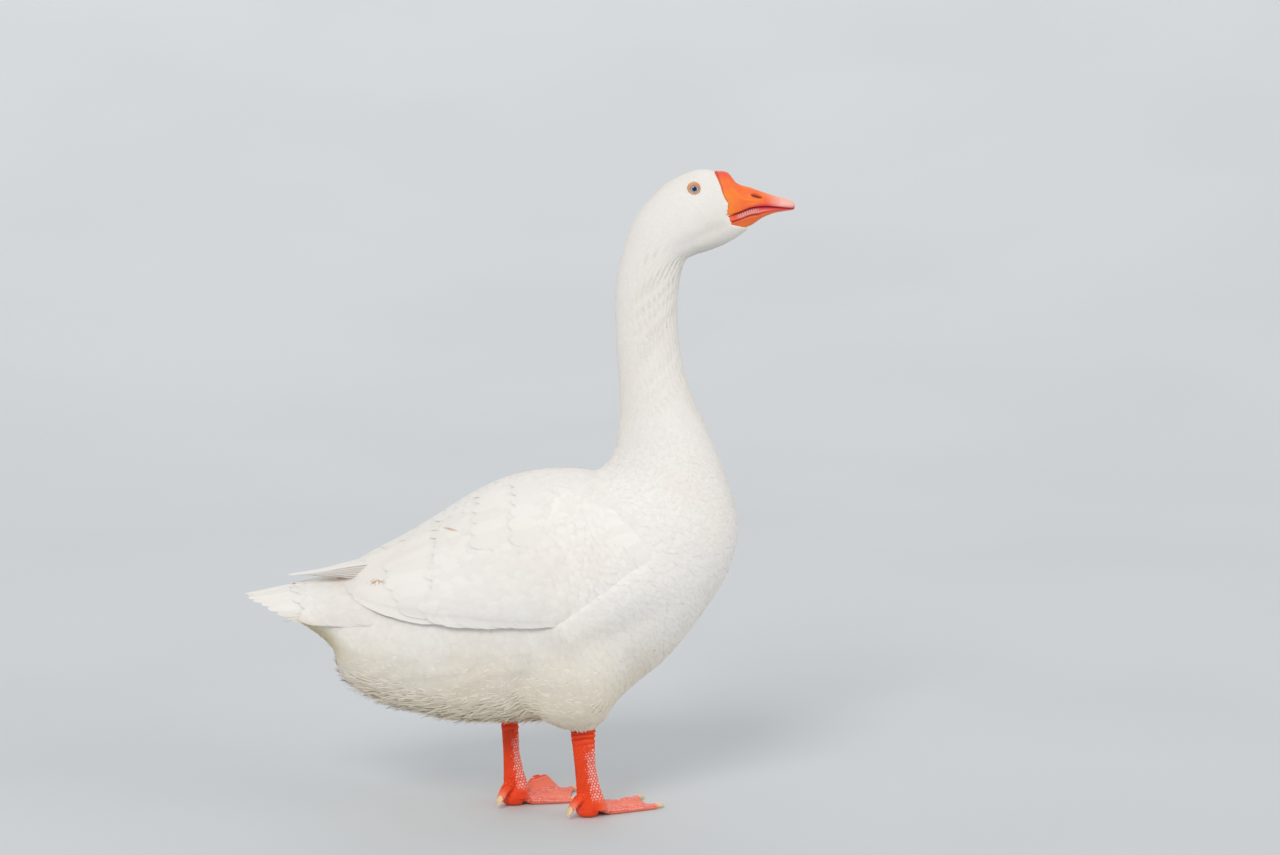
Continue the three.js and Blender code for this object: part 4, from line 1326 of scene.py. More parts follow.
@functools.lru_cache(maxsize=None)
def thigh_sheet(name):
    """The sheet that a thigh's feathers lie on, from the hip down and a bit over the bare leg."""
    leg = LEGS[name]
    row = np.linspace(0, 8, 81)
    angle = round_turn(80)
    rows, angles = grid_of(row, angle)
    points = thigh_points(leg, np.minimum(rows, 7), angles)
    points[..., 2] -= 10 * np.maximum(rows - 7, 0)
    middle = points.mean(axis=1, keepdims=True)
    return Sheet(points, row, angle, 1, lambda p: p - middle, wraps=True)


def front_shorter(angle):
    """How many rows less far down a thigh's feathers come in front."""
    return 1.3 * smooth(-0.2, 0.8, np.cos(angle))


def add_thigh_coat(name, seed):
    """Soft feathers down a thigh, that lean back and get smaller towards the bare leg."""
    rng = np.random.default_rng(seed)
    sheet = thigh_sheet(name)
    u, v = sheet.scatter(lambda row: mix(4.4, 1.9, smooth(3, 7, row)), 54, rng, 3.2, 6.4)
    places, normal, along, _, _ = sheet.at(u, v)
    keep = ~inside_body(places, 6) & (u < 6.4 - front_shorter(v))
    u, v, along, normal = u[keep], v[keep], along[keep], normal[keep]
    n = len(u)
    size = mix(1.0, 0.42, smooth(2, 7, u))
    back = -np.cross(normal, unit(along))[:, 0]
    turn = 0.75 * back * smooth(6.5, 2, u) + rng.normal(0, 0.1, n)
    feathers = lay(sheet, BROAD, u, v, 28 * size * rng.uniform(0.85, 1.15, n), 7.0 * size,
                   turn=turn, root_depth=1.9 * size, tip_depth=0.2 * rng.uniform(0, 2, n), cup=0.1,
                   lift=rng.uniform(0, 1, n) ** 3 * 0.9, roll=rng.normal(0, 0.03, n), fray=0.15,
                   bend=rng.normal(0, 0.12, n), rng=rng)
    u, v = sheet.scatter(lambda row: 2.6 + 0 * row, 52, rng, 4.8, 6.5)
    keep = ~inside_body(sheet.at(u, v)[0], 3) & (u < 6.5 - front_shorter(v))
    u, v = u[keep], v[keep]
    n = len(u)
    wisps = lay(sheet, SOFT, u, v, rng.uniform(9, 17, n), rng.uniform(0.8, 1.5, n),
                turn=rng.normal(-0.1, 0.25, n), root_depth=0.8, tip_depth=-0.3, cup=0.15,
                lift=rng.uniform(0, 1, n) ** 2 * 2.4, fray=0.3, bend=rng.normal(0, 0.3, n), rng=rng)
    add_coat("coat_thigh_" + name, [feathers, wisps], (0, 7), (0, 2 * np.pi), materials()["tuft"], "plumage")


# ---- Wing feathers ----

QUILL_ACROSS = [-1, -0.74, -0.46, -0.2, -0.07, 0, 0.07, 0.2, 0.46, 0.74, 1]
COVERT = Vane([0.12, 0.35, 0.6, 0.8, 0.93], [0.7, 1, 0.98, 0.8, 0.45], [-1, -0.5, -0.1, 0, 0.1, 0.5, 1], [0],
              0.4, 0.12)
QUILL_SHARES = np.array([0.03, 0.1, 0.2, 0.32, 0.44, 0.56, 0.68, 0.78, 0.86, 0.92, 0.96, 0.985])


def quill(roundness, thickness=0.6, rachis=0.35):
    """A long feather whose width rises from its root and falls at its tip as sqrt(1 - s^p): the
    larger p, the blunter the tip."""
    widths = (1 - np.exp(-(QUILL_SHARES + 0.02) / 0.09)) * np.sqrt(1 - QUILL_SHARES ** roundness)
    return Vane(QUILL_SHARES, widths, QUILL_ACROSS, [0.5, 0, -0.5], thickness, rachis)


# The two rows of long feathers of a wing: share across at which the row starts, how many there
# are, then at shares across the rows of BODY of their tips and their lengths, then half width and
# depth under the sheet.
LONG_ROWS = (
    (0.04, 10, [0, 0.3, 0.6, 0.85, 1], [5.4, 4.5, 4.45, 4.9, 5.5], [118, 128, 128, 124, 112], 15.5, 1.0),
    (0.08, 9, [0, 0.3, 0.6, 1], [6.5, 5.9, 5.8, 6.4], [98, 104, 106, 98], 14.0, 0.5),
)
ROW_STEP = 46  # about the length of the wing's sheet from one row of BODY to the next


COVERT_ROWS = [8.4, 10, 12, 14.6]  # rows of BODY at which the sizes of the coverts are given
SCAPULARS = ((9.6, 78), (10.8, 66))  # two rows of them: row of BODY of the roots, and length


def under_fold(sheet, u, v):
    """True for roots on a wing that lie behind the fold or just under its lip."""
    x, _, z = sheet.at(u, v)[0].T
    fold, share = fold_distance(x, z)
    return (fold < 7) | (share > 1.1)


def long_feathers(sheet, side, rng):
    """Tertials that end in steps along the rump, and secondaries along the lower edge."""
    groups = []
    for low, count, shares, tips, longs, wide, depth in LONG_ROWS:
        share = np.linspace(low, 0.97, count)
        tip_row = np.interp(share, shares, tips) + rng.uniform(-0.07, 0.07, count)
        length = np.interp(share, shares, longs)
        groups.append(lay(sheet, quill(8), tip_row + length / ROW_STEP, share - 0.01, length, wide,
                          turn=-side * 0.05, root_depth=depth + 2.2, tip_depth=depth * (1 - share),
                          cup=0.02, roll=side * 0.01, fray=0.02, skew=0.12 * side, relief=0.75, rng=rng))
    return groups


def wing_coverts(sheet, side, rng):
    """Coverts, small behind the shoulder and longer towards the rump."""
    u, v = sheet.scatter(lambda row: np.interp(row, COVERT_ROWS, [9.5, 7.4, 5.8, 4.8]), 19, rng,
                         8.3, 13.9, jitter=0.34)
    keep = under_fold(sheet, u, v)
    u, v = u[keep], v[keep]
    n = len(u)
    long = np.interp(u, COVERT_ROWS, [62, 44, 32, 27]) * rng.uniform(0.88, 1.1, n)
    wide = np.interp(u, COVERT_ROWS, [12.5, 10.0, 8.4, 7.4])
    return lay(sheet, COVERT, u, np.clip(v, 0.03, 1.0), long, wide,
               turn=-side * (0.1 + rng.normal(0, 0.03, n)), root_depth=1.7,
               tip_depth=rng.uniform(-0.02, 0.25, n), cup=0.04, roll=rng.normal(0, 0.008, n),
               fray=0.03, bend=rng.normal(0, 0.02, n), relief=0.5, rng=rng)


def scapulars(sheet, side, rng):
    """Long feathers over the upper half of the wing, in two rows."""
    share = np.linspace(0.5, 0.95, 6)
    return [lay(sheet, quill(6), root + 0.5 * share + rng.uniform(-0.1, 0.1, 6), share, long, 12.5,
                turn=-side * 0.09, root_depth=1.6, tip_depth=-0.5 - 0.3 * share, cup=0.035,
                roll=side * 0.012, fray=0.03, relief=0.75, rng=rng) for root, long in SCAPULARS]


def shoulder_tufts(sheet, side, rng):
    """Soft feathers over the front of the wing, fewer and fewer towards the coverts."""
    u, v = sheet.scatter(lambda row: np.interp(row, [11, 14.5], [5.2, 4.6]), 18, rng, 10.8, 14.55)
    keep = under_fold(sheet, u, v) & (u > rng.uniform(10.8, 12.6, len(u)))
    u, v = u[keep], v[keep]
    n = len(u)
    return lay(sheet, BROAD, u, v, 32 * rng.uniform(0.9, 1.1, n), 8.2, turn=-side * 0.12,
               root_depth=1.8, tip_depth=rng.uniform(-0.15, 0.05, n), cup=0.06,
               roll=rng.normal(0, 0.012, n), fray=0.06, bend=rng.normal(0, 0.06, n), rng=rng)


def add_wing(name, side, seed):
    """A folded wing: coverts over long feathers, scapulars, and soft feathers over its front."""
    rng = np.random.default_rng(seed)
    sheet = wing_sheet(side)
    groups = long_feathers(sheet, side, rng)
    groups.append(wing_coverts(sheet, side, rng))
    groups += scapulars(sheet, side, rng)
    add_coat("feathers_wing_" + name, groups, (4, 14), (-0.1, 1.1), materials()["feather"], "plumage",
             "wing_" + name)
    add_coat("coat_shoulder_" + name, [shoulder_tufts(sheet, side, rng)], (11, 14.6), (-0.1, 1.1),
             materials()["tuft"], "plumage")


def mantle_half(row):
    """Half of the angle that the mantle spans over the back: to the wings' upper edges and a bit
    over them."""
    from_middle = rows_at(WING, place_of(WING, row))[..., 2]
    return np.arcsin(np.clip(from_middle / rows_at(BODY, row)[..., 4], 0, 0.97)) + 0.14


@functools.lru_cache(maxsize=None)
def mantle_sheet():
    """The sheet over the middle of the back, level with the folded wings on both sides of it. Row
    of BODY along it, and across it the share of the half angle."""
    row = np.linspace(4.6, 15.5, 130)
    share = np.linspace(-1.1, 1.1, 60)
    rows, shares = grid_of(row, share)
    thickness = rows_at(WING, place_of(WING, rows))[..., 3] * smooth(14.9, 12.5, rows)
    points = body_points(rows, np.pi / 2 + shares * mantle_half(rows), 0.95 * thickness + 0.3)
    return Sheet(points, row, share, -1, lambda p: np.array([0, 0, 1.0]))


def add_mantle(seed):
    """Feathers of the mantle, which fill the middle of the back and lap over both wings."""
    rng = np.random.default_rng(seed)
    sheet = mantle_sheet()
    rows = [5, 8, 12, 15]
    u, v = sheet.scatter(lambda row: np.interp(row, rows, [7.5, 6.5, 5.6, 4.8]), 24, rng, 5.4, 15.4)
    v = np.clip(v, -1, 1) * 0.98
    n = len(u)
    feathers = lay(sheet, COVERT, u, v, np.interp(u, rows, [52, 44, 36, 28]),
                   np.interp(u, rows, [10, 10, 9, 7.4]), turn=rng.normal(0, 0.03, n),
                   root_depth=2.0, tip_depth=rng.uniform(-0.1, 0.2, n), cup=0.06,
                   roll=rng.normal(0, 0.01, n), fray=0.04, relief=0.45, rng=rng)
    add_coat("coat_mantle", [feathers], (4, 16), (-1.2, 1.2), materials()["feather"], "plumage")


def add_primaries(name, side, seed):
    """The wing's tip: long narrow pointed feathers stacked in a flat blade, the innermost on top
    and longest."""
    rng = np.random.default_rng(seed)
    row = np.linspace(0, 4, 80)
    across = np.linspace(-1, 1, 25)
    rows, acrosses = grid_of(row, across)
    x, out, height, half_width, _ = columns_at(PRIMARIES, rows)
    offset = half_width * acrosses
    lean = TIP_LEAN[side] * np.maximum(offset - 0.1 * half_width, 0) + TIP_DROP[side]
    points = np.stack([x, side * (out + offset), height - lean], axis=-1)
    sheet = Sheet(points, row, across, -1, lambda p: np.array([0, 0, 1.0]))
    count = 7
    order = np.arange(count) / (count - 1)
    tip_x = mix(-203, -268, order ** 0.7)
    root_x = np.minimum(tip_x + 118, PRIMARIES[-1, 0] - 1)
    half_thick = np.interp(tip_x, PRIMARIES[:, 0], PRIMARIES[:, 4])
    lift = mix(-0.75, 0.85, order)
    feathers = lay(sheet, quill(2.6, 0.8, 0.5), place_of(PRIMARIES, root_x), mix(0.62, -0.1, order),
                   root_x - tip_x, mix(8.5, 9.5, order), turn=0.0, root_depth=-6.0 * lift,
                   tip_depth=-1.0 * half_thick * lift, cup=0.05, skew=-0.25 * side, fray=0.02, rng=rng)
    add_coat("feathers_primaries_" + name, [feathers], (0, 4), (-1, 1), materials()["feather"], "plumage",
             "primaries_" + name)


# ---- Tail ----

def tail_points(u, v, raise_by=0.0):
    """Points of the tail's upper face: u from 0 at the quills' roots to 1 at the tips, below 0 on
    the rump, and v across. Each section is an arch from side edge to side edge, round on the rump
    and a parabola at the tips. The end curves back as v squared."""
    tip_x = TAIL_TIP + 60 * v * v
    x = np.where(u < 0, mix(TAIL_ROOT, TAIL_TIP, u), mix(TAIL_ROOT, tip_x, u))
    _, half_width, edge, top, power = columns_at(TAIL_SECTIONS, place_of(TAIL_SECTIONS, u))
    arch = np.sign(1 - v * v) * np.abs(1 - v * v) ** power
    return np.stack([x, v * half_width, mix(edge, top, arch) + raise_by], axis=-1)


def add_tail(seed):
    """The tail fan: sixteen quills that overlap like tiles with the middle pair on top, and soft
    coverts that run from the rump and the sides over their roots, and under them."""
    rng = np.random.default_rng(seed)
    u = np.linspace(-0.75, 1.1, 90)
    v = np.linspace(-1.2, 1.2, 80)
    uu, vv = grid_of(u, v)
    top = Sheet(tail_points(uu, vv), u, v, 1, lambda p: np.array([0, 0, 1.0]))
    centre = (np.arange(TAIL_FEATHERS) + 0.5) / TAIL_FEATHERS * 2 - 1
    rank = np.abs(np.arange(TAIL_FEATHERS) - (TAIL_FEATHERS - 1) / 2)
    length = (tail_points(np.zeros(TAIL_FEATHERS), centre) - tail_points(np.ones(TAIL_FEATHERS), centre))
    length = np.linalg.norm(length, axis=-1) * (1 + rng.uniform(-0.03, 0.01, TAIL_FEATHERS))
    quills = lay(top, quill(5, 0.7, 0.4), np.zeros(TAIL_FEATHERS), centre, length, 9.4,
                 root_depth=1.2 + 0.12 * rank, tip_depth=0.4 + 0.14 * rank, cup=0.02,
                 roll=-0.02 * np.sign(centre), fray=0.02, relief=0.75, rng=rng)
    groups = [quills]
    for low, high, long, wide, lift in ((-0.62, -0.3, 52, 9.5, 0.3), (-0.34, 0.0, 50, 9.5, 0.5),
                                        (-0.1, 0.2, 40, 8.5, 0.7)):
        a, b = top.scatter(lambda row: np.full_like(row, 8.0), 21, rng, low, high)
        n = len(a)
        groups.append(lay(top, COVERT, a, np.clip(b, -0.98, 0.98), long * rng.uniform(0.85, 1.15, n), wide,
                          turn=rng.normal(0, 0.04, n), root_depth=2.0,
                          tip_depth=-lift * rng.uniform(0.2, 1, n), cup=0.05,
                          roll=rng.normal(0, 0.01, n), fray=0.08, bend=rng.normal(0, 0.04, n),
                          relief=0.5, rng=rng))
    under = Sheet(tail_points(uu, vv * 0.78, -2.5), u, v, 1, lambda p: np.array([0, 0, -1.0]))
    a, b = under.scatter(lambda row: np.full_like(row, 6.5), 14, rng, -0.1, 0.42)
    n = len(a)
    groups.append(lay(under, BROAD, a, b, 44 * rng.uniform(0.8, 1.15, n), 8.0, turn=rng.normal(0, 0.08, n),
                      root_depth=-2.0, tip_depth=-0.4 * rng.uniform(0, 3, n), cup=0.1,
                      roll=rng.normal(0, 0.03, n), fray=0.2, rng=rng))
    add_coat("feathers_tail", groups, (-0.75, 1.1), (-1.2, 1.2), materials()["feather"], "plumage", "tail")


# ---- Bill ----

NOSTRIL = ((262.8, 702.6), (273.8, 699.4))  # ends of the slit in side view
NOSE_FOLD = ((240, 708), (255, 697), (277, 695))  # the raised rim behind and under the nostril
LAMELLA = 2.45  # from one ridge along the mouth's edge to the next
NAIL_START = 292.5


def ring_cosine(angle, square):
    """Cosine and sine of an angle, with the cosine's curve made squarer by a power under 1."""
    across = np.cos(angle)
    return np.sign(across) * np.abs(across) ** square, np.sin(angle)


def dive(points):
    """How far the bill draws in behind the feather edge, where the skin covers it."""
    x, z = points[..., 0], points[..., 2]
    return 3.0 * smooth(0.3, -3.5, ahead_of_face(x, z)) + 5 * smooth(217, 208, x)


def grid_normals(points, outward):
    """Normals of a grid that closes round its second side, turned by the sign of outward."""
    along = np.gradient(points, axis=0)
    across = np.roll(points, -1, axis=1) - np.roll(points, 1, axis=1)
    normal = unit(np.cross(across, along))
    return normal * np.where(np.sum(dot(normal, points - outward)) < 0, -1, 1)


def upper_relief(x, z, level, side, tip):
    """How far the upper bill stands out from its plain sections, and its marks. Level is the height
    over the mouth line, side is 1 on its sides and tip is 1 at its end."""
    slit, share = segment_distance(x, z, *NOSTRIL)
    wide = 1.5 * np.sqrt(np.clip(1 - (2 * share - 1) ** 2, 0.05, 1)) + 0.3
    pit = bell(slit / wide) * side
    rim = bell((slit - 2.6) / 1.1) * side
    fold = bell(polyline_distance(x, z, NOSE_FOLD) / 1.7) * side * smooth(281, 268, x)
    hollow = bell((x - 262) / 15) * bell((z - 702) / 5.5) * side
    ridge = 0.5 + 0.5 * np.cos(2 * np.pi * x / LAMELLA)
    band = smooth(4.2, 2.4, level) * smooth(0.2, 1.2, level) * smooth(238, 246, x) * (1 - tip)
    wrinkles = 0.22 * np.sin(0.9 * x + 1.7 * z + 3 * np.sin(z / 3.1)) * smooth(250, 232, x)
    lip = bell((level - 4.6) / 1.2) * side * smooth(240, 252, x) * (1 - tip)
    out = (-2.1 * pit + 0.45 * rim + 0.75 * fold - 0.9 * hollow - 0.35 * band * ridge + 0.35 * wrinkles
           + 0.5 * lip)
    return out, dict(
        yellow=np.clip(0.8 * smooth(252, 234, x) * smooth(712, 700, z) * side + 0.55 * fold, 0, 1),
        red=np.clip(0.85 * bell((level - 1.2) / 2.1) * smooth(244, 268, x)
                    + 0.35 * smooth(262, 282, x) * smooth(12, 4, level)
                    + 0.5 * smooth(716, 726, z) * smooth(246, 232, x), 0, 1),
        pale=smooth(278, 299, x + 0.35 * (z - 690)) * smooth(0.6, 3.2, level),
        comb=0 * x,
        # Dark: painted shade in the nostril's slit and along the feather edge at the base.
        dark=np.clip(bell(slit / (1.05 * wide)) * side
                     + 0.5 * bell((ahead_of_face(x, z) - 0.5) / 0.8) * smooth(668, 676, z), 0, 1))


def lower_relief(x, z, drop, high, side, tip):
    """How far the lower bill stands out from its plain sections, and its marks: from the mouth line
    down, the comb, a fleshy rim, a crack and a second rim. Drop is the depth under the mouth line
    and high the height of the section."""
    deep = drop / np.clip(high / 15, 0.3, 1)
    ridge = 0.5 + 0.5 * np.cos(2 * np.pi * (x - 0.3 * drop) / LAMELLA)
    groove = bell((deep - 1.9) / 1.5)
    comb = groove * smooth(244, 250, x) * smooth(274, 266, x) * side
    rim = bell((deep - 4.9) / 1.5) * side
    crack = bell((deep - 7.4) / 0.9) * side * smooth(284, 266, x)
    second = bell((deep - 9.3) / 1.5) * side
    wavy = 1 + 0.35 * np.sin(0.55 * x + 0.3 * z)
    out = (0.8 * rim * wavy * (1 - tip) + 0.6 * second * smooth(282, 262, x) - 1.1 * crack
           - 0.7 * comb * ridge - 0.5 * groove * (1 - tip))
    return out, dict(
        yellow=0.4 * smooth(11, 14, deep) * smooth(272, 250, x),
        red=np.clip(0.9 * smooth(9, 7, deep) * smooth(236, 250, x) * (1 - 0.55 * rim), 0, 1),
        pale=np.clip(0.55 * smooth(296, 307, x) * smooth(0.2, 0.5, drop / high)
                     + 0.5 * rim * smooth(244, 252, x) * smooth(288, 274, x), 0, 1),
        comb=comb * (0.1 + 0.9 * ridge),
        # Dark: painted shade in the crack, along the mouth's seam and in the gaps of the comb.
        dark=np.clip(0.8 * crack + 0.5 * smooth(0.6, 0.1, deep) + 0.75 * comb * (1 - ridge) ** 2, 0, 1))


def build_bill(upper):
    """One half of the bill as rings along X, closer together towards the tip. The upper is an arch
    over the mouth line and the lower a keel under it. Returns points, normals and marks."""
    steps, count = 190, 132
    x = BILL[0, 0] + (BILL[-1, 0] - BILL[0, 0]) * np.sin(np.linspace(0, np.pi / 2, steps)) ** 0.94
    _, top, mouth, under, half_width = (c[:, None] for c in rows_at_x(BILL, x).T)
    angle = round_turn(count)[None]
    x = np.broadcast_to(x[:, None], (steps, count))
    if upper:
        across, rise = ring_cosine(angle, 0.8)
        lip = mouth + 0.1 + 1.6 * (1 - np.abs(across))
        z = np.where(rise > 0, mix(mouth + 2.4, top, np.abs(rise) ** 0.96), mix(mouth + 2.4, lip, -rise))
        y = half_width * across
    else:
        across, rise = ring_cosine(angle, 0.7)
        bulge = 2.2 * smooth(1.0, 0.75, np.abs(across))
        z = np.where(rise > 0, mouth - 0.1 + bulge, mix(mouth - 0.1, under, -rise))
        y = np.maximum(0.6, half_width - 1.3) * across
    points = np.stack([x, y, z], axis=-1)
    normal = grid_normals(points, points.mean(axis=1, keepdims=True))
    tip = smooth(282, 296, x)
    if upper:
        side = smooth(0.2, 0.5, np.abs(across)) + 0 * x
        out, marks = upper_relief(x, z, z - mouth, side, tip)
    else:
        side = smooth(0.1, 0.5, np.abs(across)) + 0 * x
        out, marks = lower_relief(x, z, mouth - z, mouth - under, side, tip)
    points = points + normal * (out - dive(points))[..., None]
    return points, normal, {key: value + 0 * x for key, value in marks.items()}


def bill_mesh(name, points, marks):
    """A closed mesh from a grid of the bill and marks on it."""
    closed = {key: np.concatenate([value.ravel(), [value[0].mean(), value[-1].mean()]])
              for key, value in marks.items()}
    return build_mesh(name, *tube(points), marks=closed)


def nail_grid(points, normal, marks):
    """The nail: the last rings of the upper bill, a little proud of it on top and sunk into it all
    round."""
    x, _, z = np.moveaxis(points, -1, 0)
    last = x.mean(axis=1) > NAIL_START - 1
    rise = smooth(NAIL_START, NAIL_START + 1.6, x - 0.2 * (z - 690)) * smooth(688.4, 690.4, z)
    grown = points + normal * mix(-0.5, 0.4, rise)[..., None]
    return grown[last], {key: value[last] for key, value in marks.items()}


def add_bill():
    """Upper bill, its nail and the lower bill."""
    upper, normal, marks = build_bill(True)
    lower, _, lower_marks = build_bill(False)
    nail, nail_marks = nail_grid(upper, normal, marks)
    for node, kind, points, piece_marks in (("bill_upper", "bill", upper, marks),
                                            ("bill_nail", "nail", nail, nail_marks),
                                            ("bill_lower", "bill", lower, lower_marks)):
        mesh = bill_mesh(node, points, piece_marks)
        add_piece("horn_" + node, mesh, materials()[kind], kind + "_horn", node)


# ---- Eyes ----

EYE_STEPS = 72  # points of the ball from pole to pole, and round it
LID_BEADS = 26


def eye_frame(side):
    """Centre of an eyeball and its axes: out of the head, forwards and up, each a unit vector. The
    eye looks sideways, a little forwards and up."""
    out = unit(np.array([0.04, side, 0.1]))
    forward = unit(np.array([1.0, 0, 0]) - out * out[0])
    up = np.cross(forward, out) * side
    centre = np.array([EYE_SIDE_VIEW[0], side * (EYE_CENTRE[1] - EYE_SUNK), EYE_SIDE_VIEW[1]])
    return centre, out, forward, unit(up)


def build_eyeball(side):
    """A ball of the eye's radius with a bulged cornea. The mark polar is the angle from its axis."""
    centre, out, forward, up = eye_frame(side)
    polar = np.linspace(0.02, np.pi - 0.02, EYE_STEPS)[:, None]
    turn = round_turn(EYE_STEPS)[None]
    radius = EYE_RADIUS + 0.35 * bell(polar / 0.55) - 0.1
    direction = (np.cos(polar)[..., None] * out + (np.sin(polar) * np.cos(turn))[..., None] * forward
                 + (np.sin(polar) * np.sin(turn))[..., None] * up)
    points, quads, tris = tube(centre + radius[..., None] * direction)
    marks = {"polar": np.concatenate([np.repeat(polar.ravel(), EYE_STEPS), [0, np.pi]])}
    return build_mesh("eyeball", points, quads, tris, marks=marks)


def build_lids(side):
    """The beaded ring of bare lid round an eye: a flattened profile carried round an oval, a little
    longer than high, that is thicker above and pointed at its two corners."""
    centre, out, forward, up = eye_frame(side)
    turn = round_turn(300)[:, None]
    profile = round_turn(20)[None]
    corner = np.abs(np.cos(turn)) ** 14
    opening = bpy.context.scene.goose_sizes.eye_opening / MM / 2
    upper = smooth(-0.1, 0.9, np.sin(turn))
    path = opening + 0.45 + 0.5 * corner - 0.35 * np.abs(np.sin(turn)) ** 3 + 0.25 * upper
    bead = 0.17 * np.cos(LID_BEADS * turn) * smooth(-0.2, 0.8, np.cos(profile - 0.9))
    thick = 0.88 + 0.2 * upper - 0.12 * corner + bead
    reach = path + 0.2 + 1.3 * thick * np.cos(profile)
    ball = np.sqrt(np.maximum(EYE_RADIUS ** 2 - reach ** 2, 12.0))
    height = ball + 0.2 + 0.62 * thick * np.sin(profile)
    direction = np.cos(turn)[..., None] * forward + np.sin(turn)[..., None] * up
    rings = centre + reach[..., None] * direction + height[..., None] * out
    inner = smooth(-0.35, -0.85, np.cos(profile) + 0 * turn)
    under = smooth(0.35, -0.75, np.sin(turn) + 0 * profile)
    return build_mesh("lids", *loop(rings), marks={"inner": inner, "under": under})


def add_eyes():
    """Eyeballs and the lids round them."""
    look = materials()
    for name, leg in LEGS.items():
        side = leg["side"]
        ball = build_eyeball(side)
        ball.name = "eye_" + name
        add_piece("eyeball_" + name, ball, look["eye"], "eye", "eye_" + name)
        add_piece("lids_" + name, build_lids(side), look["lid"], "leg_skin")


# ---- Legs, feet and claws ----

# Half length of a leg along X, as a share of its depth, at heights above the floor, and how far
# its middle is moved forwards.
LEG_HEIGHTS = [8, 16, 26, 38, 60, 88, 104, 116]
LEG_SHARES = {"right": [1.6, 1.48, 1.3, 1.13, 1.03, 1.12, 1.22, 1.24],
              "left": [1.6, 1.5, 1.34, 1.12, 0.9, 0.93, 1.04, 1.06]}
LEG_FORWARD = [4.5, 4.2, 3.0, 1.2, -0.9, -1.8, -1.6, -1.2]
HIND_PATH = ((-5, 26), (-17, 19.5), (-25, 11.5))  # behind the ankle and above the floor


def toe_turn(leg, toe):
    """The direction of a toe in radians, 0 along +X."""
    return np.radians(leg["toes_turn"] - toe["turn"] * leg["side"])


def toe_at(leg, toe, t):
    """Centre, radius and height of a toe at shares of its length. Front toes have swollen knuckle
    pads and rise to the ankle. The hind toe hangs down behind it."""
    turn = toe_turn(leg, toe)
    if toe is TOES["hind"]:
        path = np.array(HIND_PATH)
        back = np.interp(t, [0, 0.55, 1], -path[:, 0])
        radius = mix(6.6, 4.8, t)
        z, high = np.interp(t, [0, 0.55, 1], path[:, 1]), radius
    else:
        back = toe["length"] * t
        knuckles = 0.7 * np.cos(4 * np.pi * t) ** 2 * smooth(1.2, 0.6, t)
        radius = mix(toe["root"] * 1.12, toe["end"], t ** 0.8) + knuckles - 0.4
        high = radius * mix(1.0, 0.84, smooth(0.1, 0.5, t))
        z = high - SOLE_FLAT + 9 * smooth(0.36, 0, t)
    return np.stack([leg["ankle"][0] + back * np.cos(turn), leg["ankle"][1] + back * np.sin(turn), z + 0 * t],
                    -1), radius, high


def level_rings(centre, along, across, count):
    """Level ellipses round the centres, with half lengths along X and across Y."""
    angle = round_turn(count)
    x = centre[:, :1] + along[:, None] * np.cos(angle)
    y = centre[:, 1:2] + across[:, None] * np.sin(angle)
    return np.stack([x, y, np.broadcast_to(centre[:, 2:], x.shape)], axis=-1)


def toe_rings(leg, toe):
    """Upright ellipses round a toe's centre line, the last ones smaller to close it roundly."""
    t = np.linspace(0, 1, 60)
    centre, radius, high = toe_at(leg, toe, t)
    turn = toe_turn(leg, toe)
    closing = np.sqrt(np.clip(1 - (np.maximum(t - 0.95, 0) / 0.055) ** 2, 0.1, 1))
    angle = round_turn(32)
    sideways = np.array([-np.sin(turn), np.cos(turn), 0])
    return (centre[:, None] + ((radius * closing)[:, None] * np.cos(angle))[..., None] * sideways
            + ((high * closing)[:, None] * np.sin(angle))[..., None] * np.array([0, 0, 1]))


def web_rings(leg, toe_a, toe_b):
    """The web between two toes as a flat tube. It is spread between their upper halves, sags and
    folds between them and draws back in the middle of its front edge. The web on the far side of
    the left foot is buckled up."""
    t = np.linspace(0, 1, 40)
    t = np.concatenate([t, t[::-1]])[None]
    upper = np.concatenate([np.ones(40), -np.ones(40)])[None]
    s = np.linspace(0.05, 1, 60)[:, None]
    reach = s * 0.98 * (1 - 0.16 * t * (1 - t))
    (a, _, high_a), (b, _, high_b) = (toe_at(leg, toe, reach) for toe in (toe_a, toe_b))
    points = mix(a, b, t[..., None])
    between = np.sin(np.pi * t)
    fold = 0.5 * np.sin(2 * np.pi * (2.6 * t + 0.4 * s)) * between * smooth(0.1, 0.5, s)
    sag = (0.5 + 1.4 * s) * between
    buckled = 19.0 if leg["side"] > 0 and toe_b is TOES["outer"] else 0.0
    points[..., 2] += mix(high_a, high_b, t) * 0.62 * (1 - s ** 5) - sag + fold + 1.0 * upper
    points[..., 2] += buckled * between ** 1.5 * smooth(0.15, 0.5, s) * smooth(1.02, 0.7, s)
    points[..., 2] = np.maximum(points[..., 2], 1.6 + 0.9 * upper)
    return points


LEG_CELL = 3.5  # width of a scale on the leg
CELLS_ROUND = 18  # how many stand side by side round the leg
TOE_CELL = 3.1
WEB_GRAIN = 1.9
FOOT_VOXEL = 0.58  # size of the cells in which leg, toes and webs are fused


def cell_domes(a, b, size):
    """Rounded six-sided scales over two coordinates: 1 in the middle of a scale and 0 on its edge.
    It is the distance to the nearest point of a honeycomb of that size. Also a number from 0 to 1
    that is the same all over a scale: the broken part of a large multiple of a sine."""
    high = size * np.sqrt(3)
    first_a, first_b = np.round(a / size) * size, np.round(b / high) * high
    second_a, second_b = (np.floor(a / size) + 0.5) * size, (np.floor(b / high) + 0.5) * high
    first, second = np.hypot(a - first_a, b - first_b), np.hypot(a - second_a, b - second_b)
    middle_a = np.where(first < second, first_a, second_a)
    middle_b = np.where(first < second, first_b, second_b)
    draw = (np.sin(1.29898 * middle_a + 7.8233 * middle_b) * 4375.85) % 1
    return np.clip(1 - (np.minimum(first, second) / (0.56 * size)) ** 2, 0, 1), draw


